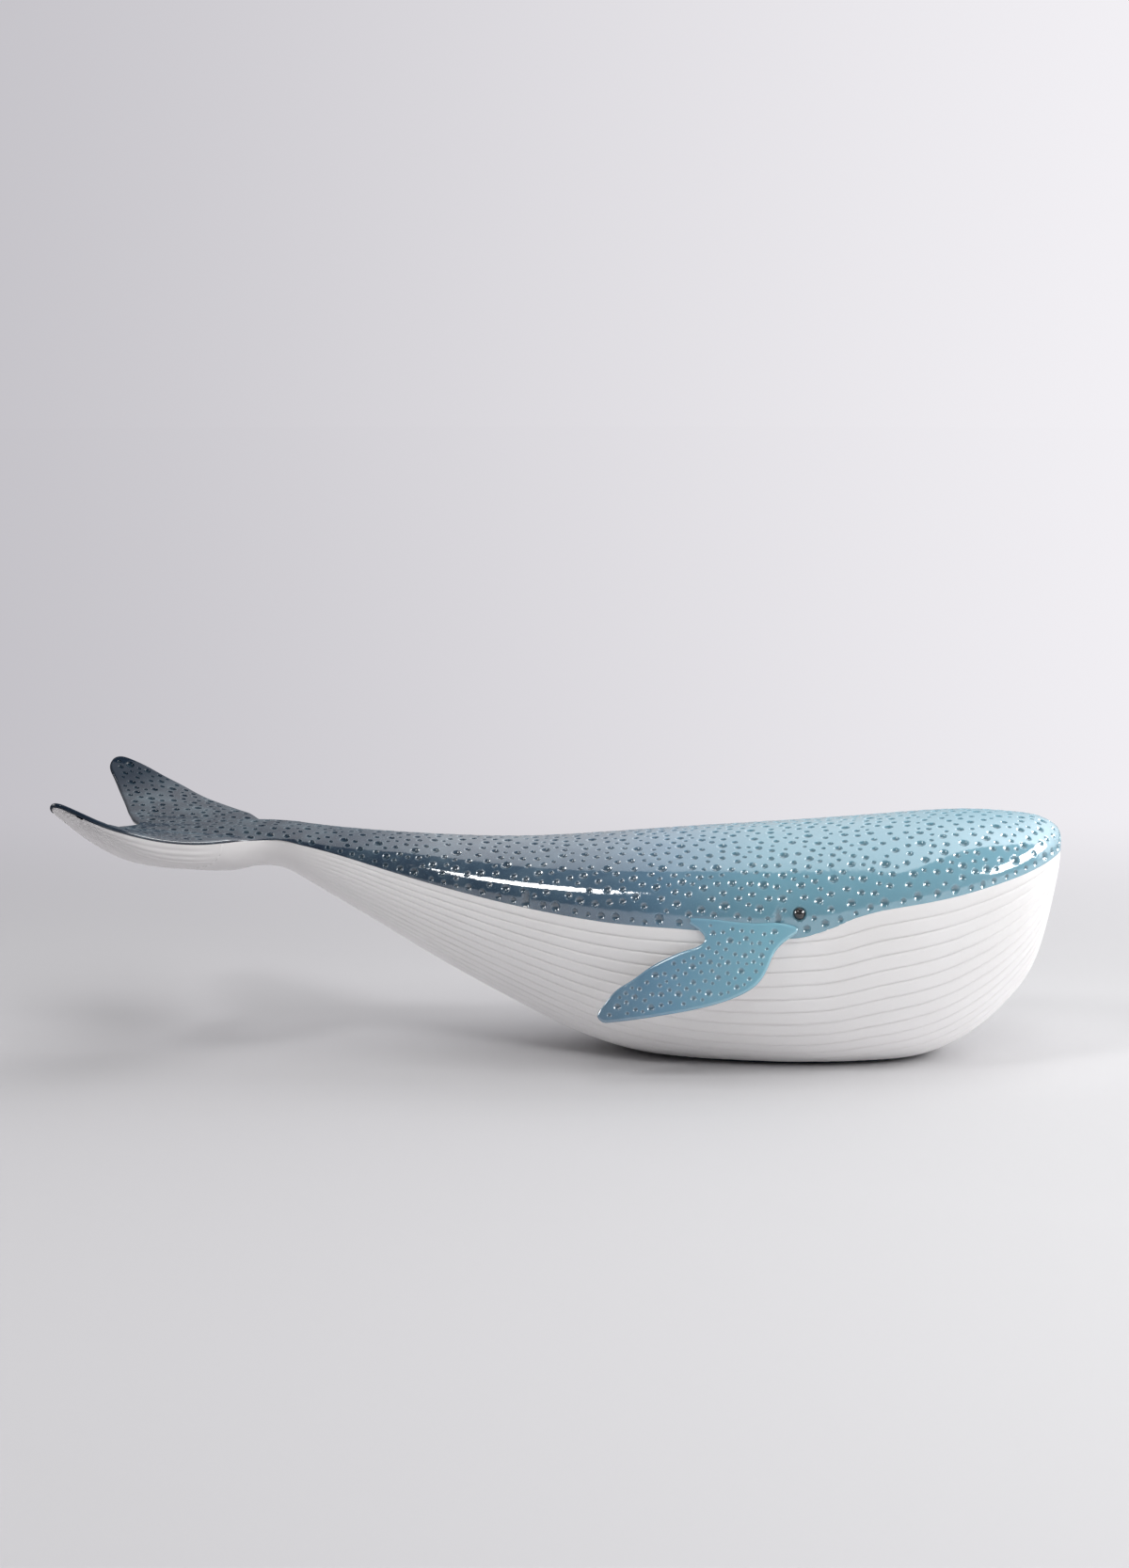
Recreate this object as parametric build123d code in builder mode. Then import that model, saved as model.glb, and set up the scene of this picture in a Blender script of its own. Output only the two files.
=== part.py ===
from build123d import *
import os
from math import copysign, cos, hypot, pi, sin

# Ceramic whale ornament, nose towards +X, resting on a felt pad under its belly.
# Millimetres. Origin: middle of the footprint, on the surface that it stands on.
os.makedirs("parts", exist_ok=True)

# Body castings
nose_reach = 140.4
peduncle_reach = 238.0
half_width = 70.0
back_height = 118.0
wall_thickness = 5.0
floor_thickness = 6.0
section_points = 24
thinnest_core = 2.0

# Belly grooves, counted on one flank
groove_count = 8
groove_depth = 0.8
groove_fade_length = 60.0
full_groove_spacing = 14.0
flank_steps = 90
crown_points = 4

# Fluke castings
fluke_half_span = 81.0
fluke_chord = 100.6
fluke_height = 109.0
fluke_tip_rise = 23.0
fluke_depth = 21.8
rim_thickness = 2.5
fluke_wall = 4.0
fluke_bulkhead = 12.0
underside_points = 14
underside_fullness = 2.6

# Pectoral fins
fin_reach = 95.0
fin_drop = 50.0
fin_thickness = 4.5
fin_edge_radius = 1.5
fin_lean = 14.0
fin_root_height = 77.5
fin_front_x = 14.0
fin_stand_off = 1.6
tenon_length = 22.0
tenon_height = 4.0
tenon_depth = 4.4
tenon_root = 0.9
tenon_drop = 2.7

# Eyes
eye_radius = 2.9
eye_x = 12.2
eye_height = 80.0
eye_sink = 1.1
eye_stem_radius = 1.2
eye_stem_length = 4.6

# Joints between the castings
seat_gap = 0.3
luting_gap = 0.2
lip_height = 4.0
lip_thickness = 2.5
lip_root = 5.0
peg_radius = 5.0
peg_length = 11.0
peg_root = 9.0
peg_drop = 13.0
overrun = 10.0

# Felt pad and casting vent
pad_thickness = 1.8
pad_margin = 0.7
vent_x = 4.0
vent_radius = 7.0
vent_head_radius = 10.0
vent_head_depth = 2.0
vent_rise = 2.0

# Body stations: place along the body, half width, height of the widest line, crown
# height, keel height, and how square the section is below the widest line
body_station_shares = [
    (0.000, 0.314, 0.886, 0.932, 0.746, 2.00),
    (0.042, 0.327, 0.860, 0.918, 0.674, 2.00),
    (0.100, 0.362, 0.812, 0.902, 0.564, 2.00),
    (0.164, 0.425, 0.759, 0.889, 0.439, 2.00),
    (0.232, 0.513, 0.717, 0.879, 0.314, 2.10),
    (0.312, 0.636, 0.686, 0.875, 0.180, 2.20),
    (0.396, 0.766, 0.668, 0.887, 0.057, 2.35),
    (0.484, 0.884, 0.655, 0.907, -0.012, 2.50),
    (0.576, 0.970, 0.650, 0.927, -0.042, 2.50),
    (0.669, 1.000, 0.659, 0.947, -0.053, 2.50),
    (0.756, 0.979, 0.695, 0.969, -0.036, 2.50),
    (0.830, 0.904, 0.741, 0.990, 0.006, 2.50),
    (0.893, 0.775, 0.780, 0.999, 0.107, 2.40),
    (0.941, 0.615, 0.813, 0.992, 0.250, 2.30),
    (0.972, 0.433, 0.838, 0.979, 0.418, 2.20),
    (0.9895, 0.264, 0.851, 0.953, 0.640, 2.10),
    (0.9978, 0.120, 0.858, 0.918, 0.784, 2.00),
    (1.000, 0.045, 0.861, 0.886, 0.836, 2.00),
]

# Border between the glazed back and the bare belly: place along the body, height
border_shares = [
    (-0.02, 0.898),
    (0.000, 0.888),
    (0.042, 0.863),
    (0.103, 0.812),
    (0.164, 0.758),
    (0.225, 0.712),
    (0.285, 0.673),
    (0.346, 0.642),
    (0.404, 0.620),
    (0.465, 0.608),
    (0.523, 0.603),
    (0.602, 0.583),
    (0.639, 0.574),
    (0.662, 0.582),
    (0.686, 0.604),
    (0.710, 0.634),
    (0.726, 0.657),
    (0.755, 0.687),
    (0.784, 0.704),
    (0.842, 0.731),
    (0.903, 0.772),
    (0.950, 0.810),
    (0.979, 0.837),
    (0.997, 0.855),
    (1.020, 0.872),
]

# Line that the belly grooves follow: place along the body, height
groove_line_shares = [
    (0.000, 0.888),
    (0.042, 0.863),
    (0.103, 0.812),
    (0.164, 0.758),
    (0.225, 0.712),
    (0.285, 0.673),
    (0.346, 0.642),
    (0.404, 0.620),
    (0.465, 0.608),
    (0.602, 0.610),
    (0.662, 0.624),
    (0.710, 0.645),
    (0.755, 0.687),
    (0.842, 0.731),
    (0.903, 0.772),
    (0.950, 0.810),
    (0.979, 0.837),
    (1.000, 0.858),
]

# Fluke ribs from the middle outwards: place along the half span, leading edge along
# the chord and its rise, trailing edge along the chord and its rise, underside depth
fluke_rib_shares = [
    (0.000, -0.676, 0.04, 0.712, 0.00, 0.97),
    (0.148, -0.268, 0.02, 0.764, 0.03, 0.90),
    (0.247, -0.018, -0.13, 0.790, 0.07, 0.84),
    (0.309, 0.065, -0.12, 0.808, 0.10, 0.82),
    (0.395, 0.145, -0.065, 0.831, 0.17, 0.81),
    (0.519, 0.235, -0.03, 0.866, 0.29, 0.78),
    (0.667, 0.346, 0.02, 0.912, 0.47, 0.72),
    (0.815, 0.502, 0.17, 0.964, 0.71, 0.57),
    (0.926, 0.631, 0.38, 0.985, 0.91, 0.34),
    (0.975, 0.736, 0.58, 0.957, 1.00, 0.22),
    (0.998, 0.810, 0.74, 0.885, 0.92, 0.15),
]

# The outermost rib, as a share of the half span, that the fluke hollow reaches
hollow_span_share = 0.82

# Fin outline: shares of its reach towards the tail and of its drop from the root
fin_top_shares = [(0.600, 0.010), (0.440, 0.012), (0.250, 0.038), (0.064, 0.046), (0.000, 0.090)]
fin_front_shares = [
    (0.000, 0.090),
    (0.085, 0.200),
    (0.136, 0.310),
    (0.168, 0.456),
    (0.222, 0.618),
    (0.290, 0.708),
    (0.362, 0.770),
    (0.506, 0.856),
    (0.695, 0.934),
    (0.880, 0.996),
    (0.968, 1.018),
]
fin_tip_shares = [(0.968, 1.018), (1.000, 0.968), (0.969, 0.842)]
fin_rear_shares = [
    (0.969, 0.842),
    (0.911, 0.706),
    (0.842, 0.616),
    (0.752, 0.486),
    (0.660, 0.386),
    (0.568, 0.310),
    (0.505, 0.262),
    (0.482, 0.210),
    (0.500, 0.140),
    (0.548, 0.080),
    (0.600, 0.010),
]


body_length = nose_reach + peduncle_reach
joint_x = -peduncle_reach
fin_rear_x = fin_front_x - fin_reach * fin_top_shares[0][0]


def signed_power(value, power):
    """A power that keeps the sign of its base, for rounded-square sections."""
    return copysign(abs(value) ** power, value)


def body_section(half, widest, crown, keel, fullness):
    """Points of one closed body section, from the left flank over the crown."""
    points = []
    for step in range(section_points):
        angle = 2 * pi * step / section_points
        if step <= section_points / 2:
            across = half * cos(angle)
            up = widest + (crown - widest) * sin(angle)
        else:
            across = half * signed_power(cos(angle), 2 / fullness)
            up = widest + (widest - keel) * signed_power(sin(angle), 2 / fullness)
        points.append((across, up))
    return points


def body_form(inset):
    """The whole body as one solid, drawn in from the outer skin by an inset."""
    with BuildPart() as form:
        for place, width, widest, crown, keel, fullness in body_station_shares:
            x = joint_x + place * body_length
            reach = nose_reach if x > 0 else peduncle_reach
            half = width * half_width - inset
            top = crown * back_height - inset
            bottom = keel * back_height + inset
            level = top - (top - bottom) * (crown - widest) / (crown - keel)
            if half < thinnest_core and inset > 0:
                continue
            with BuildSketch(Plane.YZ.offset(x - x * inset / reach)):
                with BuildLine():
                    Spline(*body_section(half, level, top, bottom, fullness), periodic=True)
                make_face()
        loft()
    return form.part


def flank_run(half, widest, crown, keel, fullness):
    """Points down one flank of a section, each with its length from the crown."""
    run = [(0.0, 0.0, crown)]
    for step in range(1, flank_steps + 1):
        angle = pi / 2 - pi * step / flank_steps
        if angle > 0:
            across = half * cos(angle)
            up = widest + (crown - widest) * sin(angle)
        else:
            across = half * abs(cos(angle)) ** (2 / fullness)
            up = widest + (widest - keel) * signed_power(sin(angle), 2 / fullness)
        length = run[-1][0] + hypot(across - run[-1][1], up - run[-1][2])
        run.append((length, across, up))
    return run


def point_on(run, length, depth):
    """The point at a length down the flank, and in from the skin by a depth."""
    row = 1
    while run[row][0] < length and row < flank_steps:
        row += 1
    before, after = run[row - 1], run[row]
    step = after[0] - before[0]
    part = (length - before[0]) / step
    run_across = after[1] - before[1]
    run_up = after[2] - before[2]
    across = before[1] + run_across * part + depth * run_up / step
    up = before[2] + run_up * part - depth * run_across / step
    return across, up


def groove_line_height(place):
    """Height of the line that the grooves follow, at a place along the body."""
    for before, after in zip(groove_line_shares, groove_line_shares[1:]):
        if place <= after[0]:
            break
    part = (place - before[0]) / (after[0] - before[0])
    return (before[1] + (after[1] - before[1]) * part) * back_height


def grooved_form():
    """The whole body as one solid, with shallow grooves along its lower half."""
    with BuildPart() as form:
        for place, width, widest, crown, keel, fullness in body_station_shares:
            run = flank_run(
                width * half_width,
                widest * back_height,
                crown * back_height,
                keel * back_height,
                fullness,
            )
            start = min(length for length, across, up in run if up <= groove_line_height(place))
            spacing = (run[-1][0] - start) / (groove_count + 1 / 2)
            fade = min(1, place * body_length / groove_fade_length)
            depth = groove_depth * fade * min(1, spacing / full_groove_spacing)
            crests = []
            grooves = [point_on(run, start, 0)]
            for groove in range(groove_count):
                crests.append(point_on(run, start + (groove + 1 / 2) * spacing, 0))
                grooves.append(point_on(run, start + (groove + 1) * spacing, depth))
            over = []
            for point in range(1, crown_points + 1):
                over.append(point_on(run, start * point / crown_points, 0))
            with BuildSketch(Plane.YZ.offset(joint_x + place * body_length)):
                with BuildLine():
                    right = over[::-1] + [(0, run[0][2])]
                    Spline(*right, *[(-across, up) for across, up in over])
                    for side in (-1, 1):
                        for before, crest, after in zip(grooves, crests, grooves[1:]):
                            ThreePointArc(
                                (side * before[0], before[1]),
                                (side * crest[0], crest[1]),
                                (side * after[0], after[1]),
                            )
                    last = grooves[-1]
                    ThreePointArc((-last[0], last[1]), (0, run[-1][2]), last)
                make_face()
        loft()
    return form.part


def above_border(rise):
    """A block that holds everything above the colour border, moved up by a rise."""
    points = []
    for place, height in border_shares:
        points.append((joint_x + place * body_length, height * back_height + rise))
    top = back_height + overrun
    with BuildPart() as block:
        with BuildSketch(Plane.XZ):
            with BuildLine():
                border = Spline(*points)
                Polyline(border @ 1, (points[-1][0], top), (points[0][0], top), border @ 0)
            make_face()
        extrude(amount=half_width + overrun, both=True)
    return block.part


def flank_point(form, x, z):
    """The point of the right flank at a place and a height."""
    probe = Axis((x, -half_width - overrun, z), (0, 1, 0))
    hits = form.find_intersection_points(probe)
    return min((point for point, normal in hits), key=lambda point: point.Y)


outer_body = body_form(0)
grooved_body = grooved_form()
cavity = body_form(wall_thickness)
lip_outside = body_form(wall_thickness + seat_gap)
lip_inside = body_form(wall_thickness + seat_gap + lip_thickness)
fin_saddle = body_form(-seat_gap)

# Peg that locates the tail casting in the belly casting, and its bore
peg_plane = Plane(
    origin=(joint_x, 0, body_station_shares[0][3] * back_height - peg_drop),
    z_dir=(1, 0, 0),
)

# Eye seat on the right flank
eye_seat = flank_point(outer_body, eye_x, eye_height)
eye_plane = Plane(origin=eye_seat + Vector(0, eye_sink, 0), z_dir=(0, 1, 0))

# Fin root on the right flank: the fin follows the flank in plan and leans outwards
root_front = flank_point(outer_body, fin_front_x, fin_root_height)
root_rear = flank_point(outer_body, fin_rear_x, fin_root_height)
root_line = (root_rear - root_front).normalized()
flank_out = Vector(0, 0, 1).cross(root_line)
fin_down = Vector(0, 0, -1).rotate(Axis((0, 0, 0), root_line), fin_lean)
fin_out = root_line.cross(fin_down)
fin_plane = Plane(
    origin=root_front + flank_out * fin_stand_off,
    x_dir=root_line,
    z_dir=fin_out,
)
root_middle = flank_point(outer_body, (fin_front_x + fin_rear_x) / 2, fin_root_height - tenon_drop)
tenon_plane = Plane(origin=root_middle, x_dir=root_line, z_dir=flank_out)


def key_block(clearance, inward, outward):
    """The fin's root key, or with a clearance its mortise."""
    with BuildPart() as key:
        with BuildSketch(tenon_plane.offset(-inward)):
            Rectangle(tenon_length + 2 * clearance, tenon_height + 2 * clearance)
        extrude(amount=inward + outward)
    return key.part


def eye_form(clearance, stem_length):
    """An eye bead on its stem, or with a clearance the seat that it fits in."""
    with BuildPart(eye_plane) as bead:
        Sphere(eye_radius + clearance)
        Cylinder(
            eye_stem_radius + clearance,
            stem_length,
            align=(Align.CENTER, Align.CENTER, Align.MIN),
        )
    return bead.part


# Glazed back: the upper body casting, hollow and open below
with BuildPart() as back_shell:
    add(outer_body)
    add(above_border(0), mode=Mode.INTERSECT)
    add(cavity, mode=Mode.SUBTRACT)
    mortise = key_block(seat_gap, wall_thickness + seat_gap, overrun)
    eye_socket = eye_form(seat_gap, wall_thickness + overrun)
    add(mortise, mode=Mode.SUBTRACT)
    add(mortise.mirror(Plane.XZ), mode=Mode.SUBTRACT)
    add(eye_socket, mode=Mode.SUBTRACT)
    add(eye_socket.mirror(Plane.XZ), mode=Mode.SUBTRACT)
back_shell.part.label = "back_shell"
export_step(back_shell.part, "parts/back_shell.step")

# Locating lip: a thin upstand that follows the border inside the back casting
with BuildPart() as lip:
    add(lip_outside)
    add(above_border(-lip_root), mode=Mode.INTERSECT)
    add(above_border(lip_height), mode=Mode.SUBTRACT)

# Hollow of the belly, with a thicker wall where it carries the lip
with BuildPart() as hollow_low:
    add(cavity)
    add(above_border(-lip_root), mode=Mode.SUBTRACT)
    add(lip_inside)
    split(bisect_by=Plane.XY.offset(pad_thickness + floor_thickness), keep=Keep.TOP)

# Bisque belly: the lower body casting, with a flat floor and the casting vent
with BuildPart() as belly_shell:
    add(grooved_body)
    add(above_border(-luting_gap), mode=Mode.SUBTRACT)
    add(lip.part)
    add(hollow_low.part, mode=Mode.SUBTRACT)
    split(bisect_by=Plane.XY.offset(pad_thickness), keep=Keep.TOP)
    with Locations(peg_plane):
        Hole(peg_radius + seat_gap, depth=peg_length + overrun)
    with Locations(Plane(origin=(vent_x, 0, pad_thickness), z_dir=(0, 0, -1))):
        CounterBoreHole(
            vent_radius,
            counter_bore_radius=vent_head_radius,
            counter_bore_depth=vent_head_depth,
            depth=floor_thickness + overrun,
        )
belly_shell.part.label = "belly_shell"
export_step(belly_shell.part, "parts/belly_shell.step")

# Vent stopper: a headed rubber bung that closes the casting vent
with BuildPart(Plane(origin=(vent_x, 0, pad_thickness))) as vent_stopper:
    Cylinder(
        vent_head_radius - seat_gap,
        vent_head_depth - seat_gap,
        align=(Align.CENTER, Align.CENTER, Align.MIN),
    )
    Cylinder(
        vent_radius - seat_gap,
        floor_thickness + vent_rise,
        align=(Align.CENTER, Align.CENTER, Align.MIN),
    )
vent_stopper.part.label = "vent_stopper"
export_step(vent_stopper.part, "parts/vent_stopper.step")

# Felt pad: glued under the belly, set in from the edge of its flat
with BuildPart() as base_pad:
    add(body_form(pad_margin))
    split(bisect_by=Plane.XY.offset(pad_thickness), keep=Keep.BOTTOM)
    split(bisect_by=Plane.XY, keep=Keep.TOP)
base_pad.part.label = "base_pad"
export_step(base_pad.part, "parts/base_pad.step")

# Eyes: glossy beads on stems, set into the back casting
with BuildPart() as right_eye:
    add(eye_form(0, eye_stem_length))
right_eye.part.label = "right_eye"
export_step(right_eye.part, "parts/right_eye.step")
with BuildPart() as left_eye:
    add(right_eye.part)
    mirror(about=Plane.XZ, mode=Mode.REPLACE)
left_eye.part.label = "left_eye"
export_step(left_eye.part, "parts/left_eye.step")


def fin_points(shares):
    """Outline points of the fin in its own plane."""
    return [(reach * fin_reach, drop * fin_drop) for reach, drop in shares]


# Pectoral fins: leaf-shaped castings, luted to the flank over the border and keyed in
with BuildPart() as right_pectoral_fin:
    with BuildSketch(fin_plane):
        with BuildLine():
            Spline(*fin_points(fin_top_shares))
            Spline(*fin_points(fin_front_shares))
            Spline(*fin_points(fin_tip_shares))
            Spline(*fin_points(fin_rear_shares))
        make_face()
    extrude(amount=-fin_thickness)
    fillet(right_pectoral_fin.edges().filter_by(GeomType.BSPLINE), radius=fin_edge_radius)
    add(fin_saddle, mode=Mode.SUBTRACT)
    add(key_block(0, tenon_depth, tenon_root))
right_pectoral_fin.part.label = "right_pectoral_fin"
export_step(right_pectoral_fin.part, "parts/right_pectoral_fin.step")
with BuildPart() as left_pectoral_fin:
    add(right_pectoral_fin.part)
    mirror(about=Plane.XZ, mode=Mode.REPLACE)
left_pectoral_fin.part.label = "left_pectoral_fin"
export_step(left_pectoral_fin.part, "parts/left_pectoral_fin.step")


def fluke_ribs():
    """Ribs from the left tip to the right tip: span, edges of the chord, depth."""
    half = []
    for span, front, front_rise, rear, rear_rise, depth in fluke_rib_shares:
        front_edge = (joint_x - front * fluke_chord, fluke_height + front_rise * fluke_tip_rise)
        rear_edge = (joint_x - rear * fluke_chord, fluke_height + rear_rise * fluke_tip_rise)
        half.append((span * fluke_half_span, front_edge, rear_edge, depth * fluke_depth))
    left = [(-span, front, rear, depth) for span, front, rear, depth in reversed(half[1:])]
    return left + half


def underside_curve(front, rear, top_drop, depth):
    """The rounded underside of one rib, from its leading to its trailing edge."""
    middle = (front[0] + rear[0]) / 2
    half_chord = (front[0] - rear[0]) / 2
    points = []
    for step in range(underside_points + 1):
        angle = pi * step / underside_points
        along = signed_power(cos(angle), 2 / underside_fullness)
        sag = sin(angle) ** (2 / underside_fullness) if 0 < step < underside_points else 0
        chord_height = front[1] + (rear[1] - front[1]) * (1 - along) / 2
        height = chord_height - top_drop - (depth - top_drop) * sag
        points.append((middle + half_chord * along, height))
    return points


# Fluke top: the thin glazed plate of the tail, with the rounded rim
with BuildPart() as fluke_upper_shell:
    for span, front, rear, depth in fluke_ribs():
        with BuildSketch(Plane.XZ.offset(-span)):
            Polygon(
                front,
                rear,
                (rear[0], rear[1] - rim_thickness),
                (front[0], front[1] - rim_thickness),
                align=None,
            )
    loft()
    split(bisect_by=Plane.YZ.offset(joint_x), keep=Keep.BOTTOM)
fluke_upper_shell.part.label = "fluke_upper_shell"
export_step(fluke_upper_shell.part, "parts/fluke_upper_shell.step")


def fluke_form(inset, top_drop, widest_span, front_x):
    """The rounded fluke body behind a plane, drawn in from its edges by an inset."""
    with BuildPart() as form:
        for span, front, rear, depth in fluke_ribs():
            if abs(span) > widest_span:
                continue
            inner_front = (front[0] - inset, front[1])
            inner_rear = (rear[0] + inset, rear[1])
            curve = underside_curve(inner_front, inner_rear, top_drop, depth - inset)
            with BuildSketch(Plane.XZ.offset(-span)):
                with BuildLine():
                    Spline(*curve)
                    Line(curve[-1], curve[0])
                make_face()
        loft()
        split(bisect_by=Plane.YZ.offset(front_x), keep=Keep.BOTTOM)
    return form.part


# Fluke underside: the hollow bisque casting of the tail, with the peg that locates it
with BuildPart() as fluke_lower_shell:
    add(fluke_form(0, rim_thickness + luting_gap, fluke_half_span, joint_x))
    add(
        fluke_form(fluke_wall, 0, hollow_span_share * fluke_half_span, joint_x - fluke_bulkhead),
        mode=Mode.SUBTRACT,
    )
    with BuildSketch(peg_plane.offset(-peg_root)):
        Circle(peg_radius)
    extrude(amount=peg_root + peg_length)
fluke_lower_shell.part.label = "fluke_lower_shell"
export_step(fluke_lower_shell.part, "parts/fluke_lower_shell.step")
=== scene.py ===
import math
import random

import bmesh
import bpy
import numpy as np
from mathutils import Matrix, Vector
from mathutils.geometry import delaunay_2d_cdt


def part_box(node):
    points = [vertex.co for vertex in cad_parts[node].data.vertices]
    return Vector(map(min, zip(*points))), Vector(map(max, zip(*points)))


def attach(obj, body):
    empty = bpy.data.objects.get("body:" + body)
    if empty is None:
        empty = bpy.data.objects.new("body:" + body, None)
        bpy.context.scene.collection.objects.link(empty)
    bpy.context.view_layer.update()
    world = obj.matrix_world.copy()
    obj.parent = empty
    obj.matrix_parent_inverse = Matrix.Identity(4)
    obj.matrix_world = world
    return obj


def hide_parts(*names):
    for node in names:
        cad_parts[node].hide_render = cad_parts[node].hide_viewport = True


# A ceramic whale ornament. Shapes are worked out in millimetres, and each mesh is
# written in metres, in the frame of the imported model.
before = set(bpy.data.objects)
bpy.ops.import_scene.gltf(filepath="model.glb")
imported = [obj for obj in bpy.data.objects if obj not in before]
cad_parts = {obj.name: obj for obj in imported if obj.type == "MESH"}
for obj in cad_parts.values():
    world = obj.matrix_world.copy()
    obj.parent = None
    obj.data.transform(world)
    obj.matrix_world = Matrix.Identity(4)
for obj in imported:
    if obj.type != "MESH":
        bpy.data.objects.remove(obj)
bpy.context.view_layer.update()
mm = 0.001

# Camera: a long lens a little above the back, slightly to the right of square on.
# It is placed by the pixel under which the middle of the footprint lies.
photo_width_px = 1200
photo_height_px = 1667
lens_reach_px = 3300
footprint_px = (817, 1113)
mm_per_px = 0.4624
sensor_width = 36.0
turn = math.radians(2.6)
pitch = math.radians(8.5)
camera_right = Vector((math.cos(turn), math.sin(turn), 0))
camera_back = Vector((math.sin(turn) * math.cos(pitch), -math.cos(turn) * math.cos(pitch), math.sin(pitch)))
camera_up = camera_back.cross(camera_right)
offset_right = (footprint_px[0] - photo_width_px / 2) * mm_per_px * mm
offset_down = (footprint_px[1] - photo_height_px / 2) * mm_per_px * mm
camera = bpy.data.objects.new("camera", bpy.data.cameras.new("camera"))
camera.data.sensor_width = sensor_width
camera.data.lens = sensor_width * lens_reach_px / photo_height_px
camera.location = (
    camera_back * (lens_reach_px * mm_per_px * mm) - camera_right * offset_right + camera_up * offset_down
)
camera.rotation_mode = "QUATERNION"
camera.rotation_quaternion = (-camera_back).to_track_quat("-Z", "Y")
bpy.context.collection.objects.link(camera)
bpy.context.scene.camera = camera
bpy.context.scene.view_settings.view_transform = "Standard"

# Studio: a pale sweep, a bright bank of light over and behind the whale, a dim room in
# front of it, two softboxes, and lamps that only fill in or only glint in the glaze.
# The backdrop the camera sees is painted darker on the left and lighter on the right: painted light and
# shade across the sweep.
backdrop_left = (184, 182, 188)
backdrop_right = (250, 248, 252)
backdrop_start = -0.42
backdrop_end = 0.30
floor_radius = 9.0
floor_sides = 96
# The lit floor's colour is painted darker on the left: painted shade, as the light is stronger from the
# right.
floor_left = (0.72, 0.71, 0.73, 1)
floor_right = (0.86, 0.855, 0.87, 1)
floor_darkening = 0.28
horizon_start = 0.10
horizon_end = 0.75
bank_low, bank_rise, bank_top = 0.53, 1.44, 0.85
bank_to_right = 2.0
bank_edge_slope, bank_edge_start, bank_edge_end = 0.177, 0.138, 0.162
bulge_place, bulge_width, bulge_height = 0.05, 0.09, 0.45
room_low, room_to_right = 0.20, 0.10
matt_dimming, matt_dimming_right = 0.45, 0.22


class Wire:
    """A node's output that is reckoned with as a number is, by Math nodes."""

    def __init__(self, paint, socket):
        self.paint = paint
        self.socket = socket

    def __add__(self, other):
        return self.paint.sum_of("ADD", self, other)

    def __radd__(self, other):
        return self.paint.sum_of("ADD", other, self)

    def __sub__(self, other):
        return self.paint.sum_of("SUBTRACT", self, other)

    def __rsub__(self, other):
        return self.paint.sum_of("SUBTRACT", other, self)

    def __mul__(self, other):
        return self.paint.sum_of("MULTIPLY", self, other)

    def __rmul__(self, other):
        return self.paint.sum_of("MULTIPLY", other, self)

    def __truediv__(self, other):
        return self.paint.sum_of("DIVIDE", self, other)

    def __pow__(self, other):
        return self.paint.sum_of("POWER", self, other)


class Paint:
    """The nodes of one material, world or light, added one at a time."""

    def __init__(self, owner):
        owner.use_nodes = True
        self.owner = owner
        self.tree = owner.node_tree

    def node(self, kind, settings=(), sockets=(), output=0):
        """A node of a kind: its settings first, then values or wires for its sockets."""
        made = self.tree.nodes.new(kind)
        for name, value in dict(settings).items():
            if name == "stops":
                ramp = made.color_ramp.elements
                while len(ramp) < len(value):
                    ramp.new(1)
                for stop, (place, colour) in zip(ramp, value):
                    stop.position = place
                    stop.color = colour
            else:
                setattr(made, name, value)
        for key, value in dict(sockets).items():
            if isinstance(value, Wire):
                self.tree.links.new(value.socket, made.inputs[key])
            else:
                made.inputs[key].default_value = value
        return Wire(self, made.outputs[output])

    def sum_of(self, operation, *values):
        """What a kind of arithmetic makes of some values."""
        return self.node("ShaderNodeMath", {"operation": operation}, dict(enumerate(values)))

    def ease(self, value, low, high):
        """0 below a value and 1 above another, with a soft step between them."""
        settings = {"interpolation_type": "SMOOTHSTEP"}
        return self.node("ShaderNodeMapRange", settings, {"Value": value, "From Min": low, "From Max": high})

    def blend(self, factor, first, second):
        """One colour turning into another."""
        return self.node("ShaderNodeMix", {"data_type": "RGBA"}, {0: factor, 6: first, 7: second}, 2)

    def place(self):
        """Place on the object, in metres."""
        return self.node("ShaderNodeTexCoord", (), (), 3)

    def noise(self, place, scale, detail):
        """Soft noise between 0 and 1."""
        return self.node("ShaderNodeTexNoise", (), {"Vector": place, "Scale": scale, "Detail": detail})

    def bump(self, height, strength, distance):
        """Small relief that follows a noise."""
        sockets = {"Strength": strength, "Distance": distance, "Height": height}
        return self.node("ShaderNodeBump", (), sockets)

    def parts(self, vector):
        """The X, Y and Z of a vector."""
        split = self.node("ShaderNodeSeparateXYZ", (), {0: vector})
        return [Wire(self, output) for output in split.socket.node.outputs]

    def give(self, node_name, **sockets):
        """Sets or links the sockets of a node that is there already."""
        target = self.tree.nodes[node_name]
        for key, value in sockets.items():
            socket = target.inputs[key.replace("_", " ")]
            if isinstance(value, Wire):
                self.tree.links.new(value.socket, socket)
            else:
                socket.default_value = value


def tone(red, green, blue):
    """A colour read as 0 to 255 on the screen, as the renderer's linear colour."""
    shares = [level / 255 for level in (red, green, blue)]
    linear = [s / 12.92 if s <= 0.04045 else ((s + 0.055) / 1.055) ** 2.4 for s in shares]
    return (*linear, 1)


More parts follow.
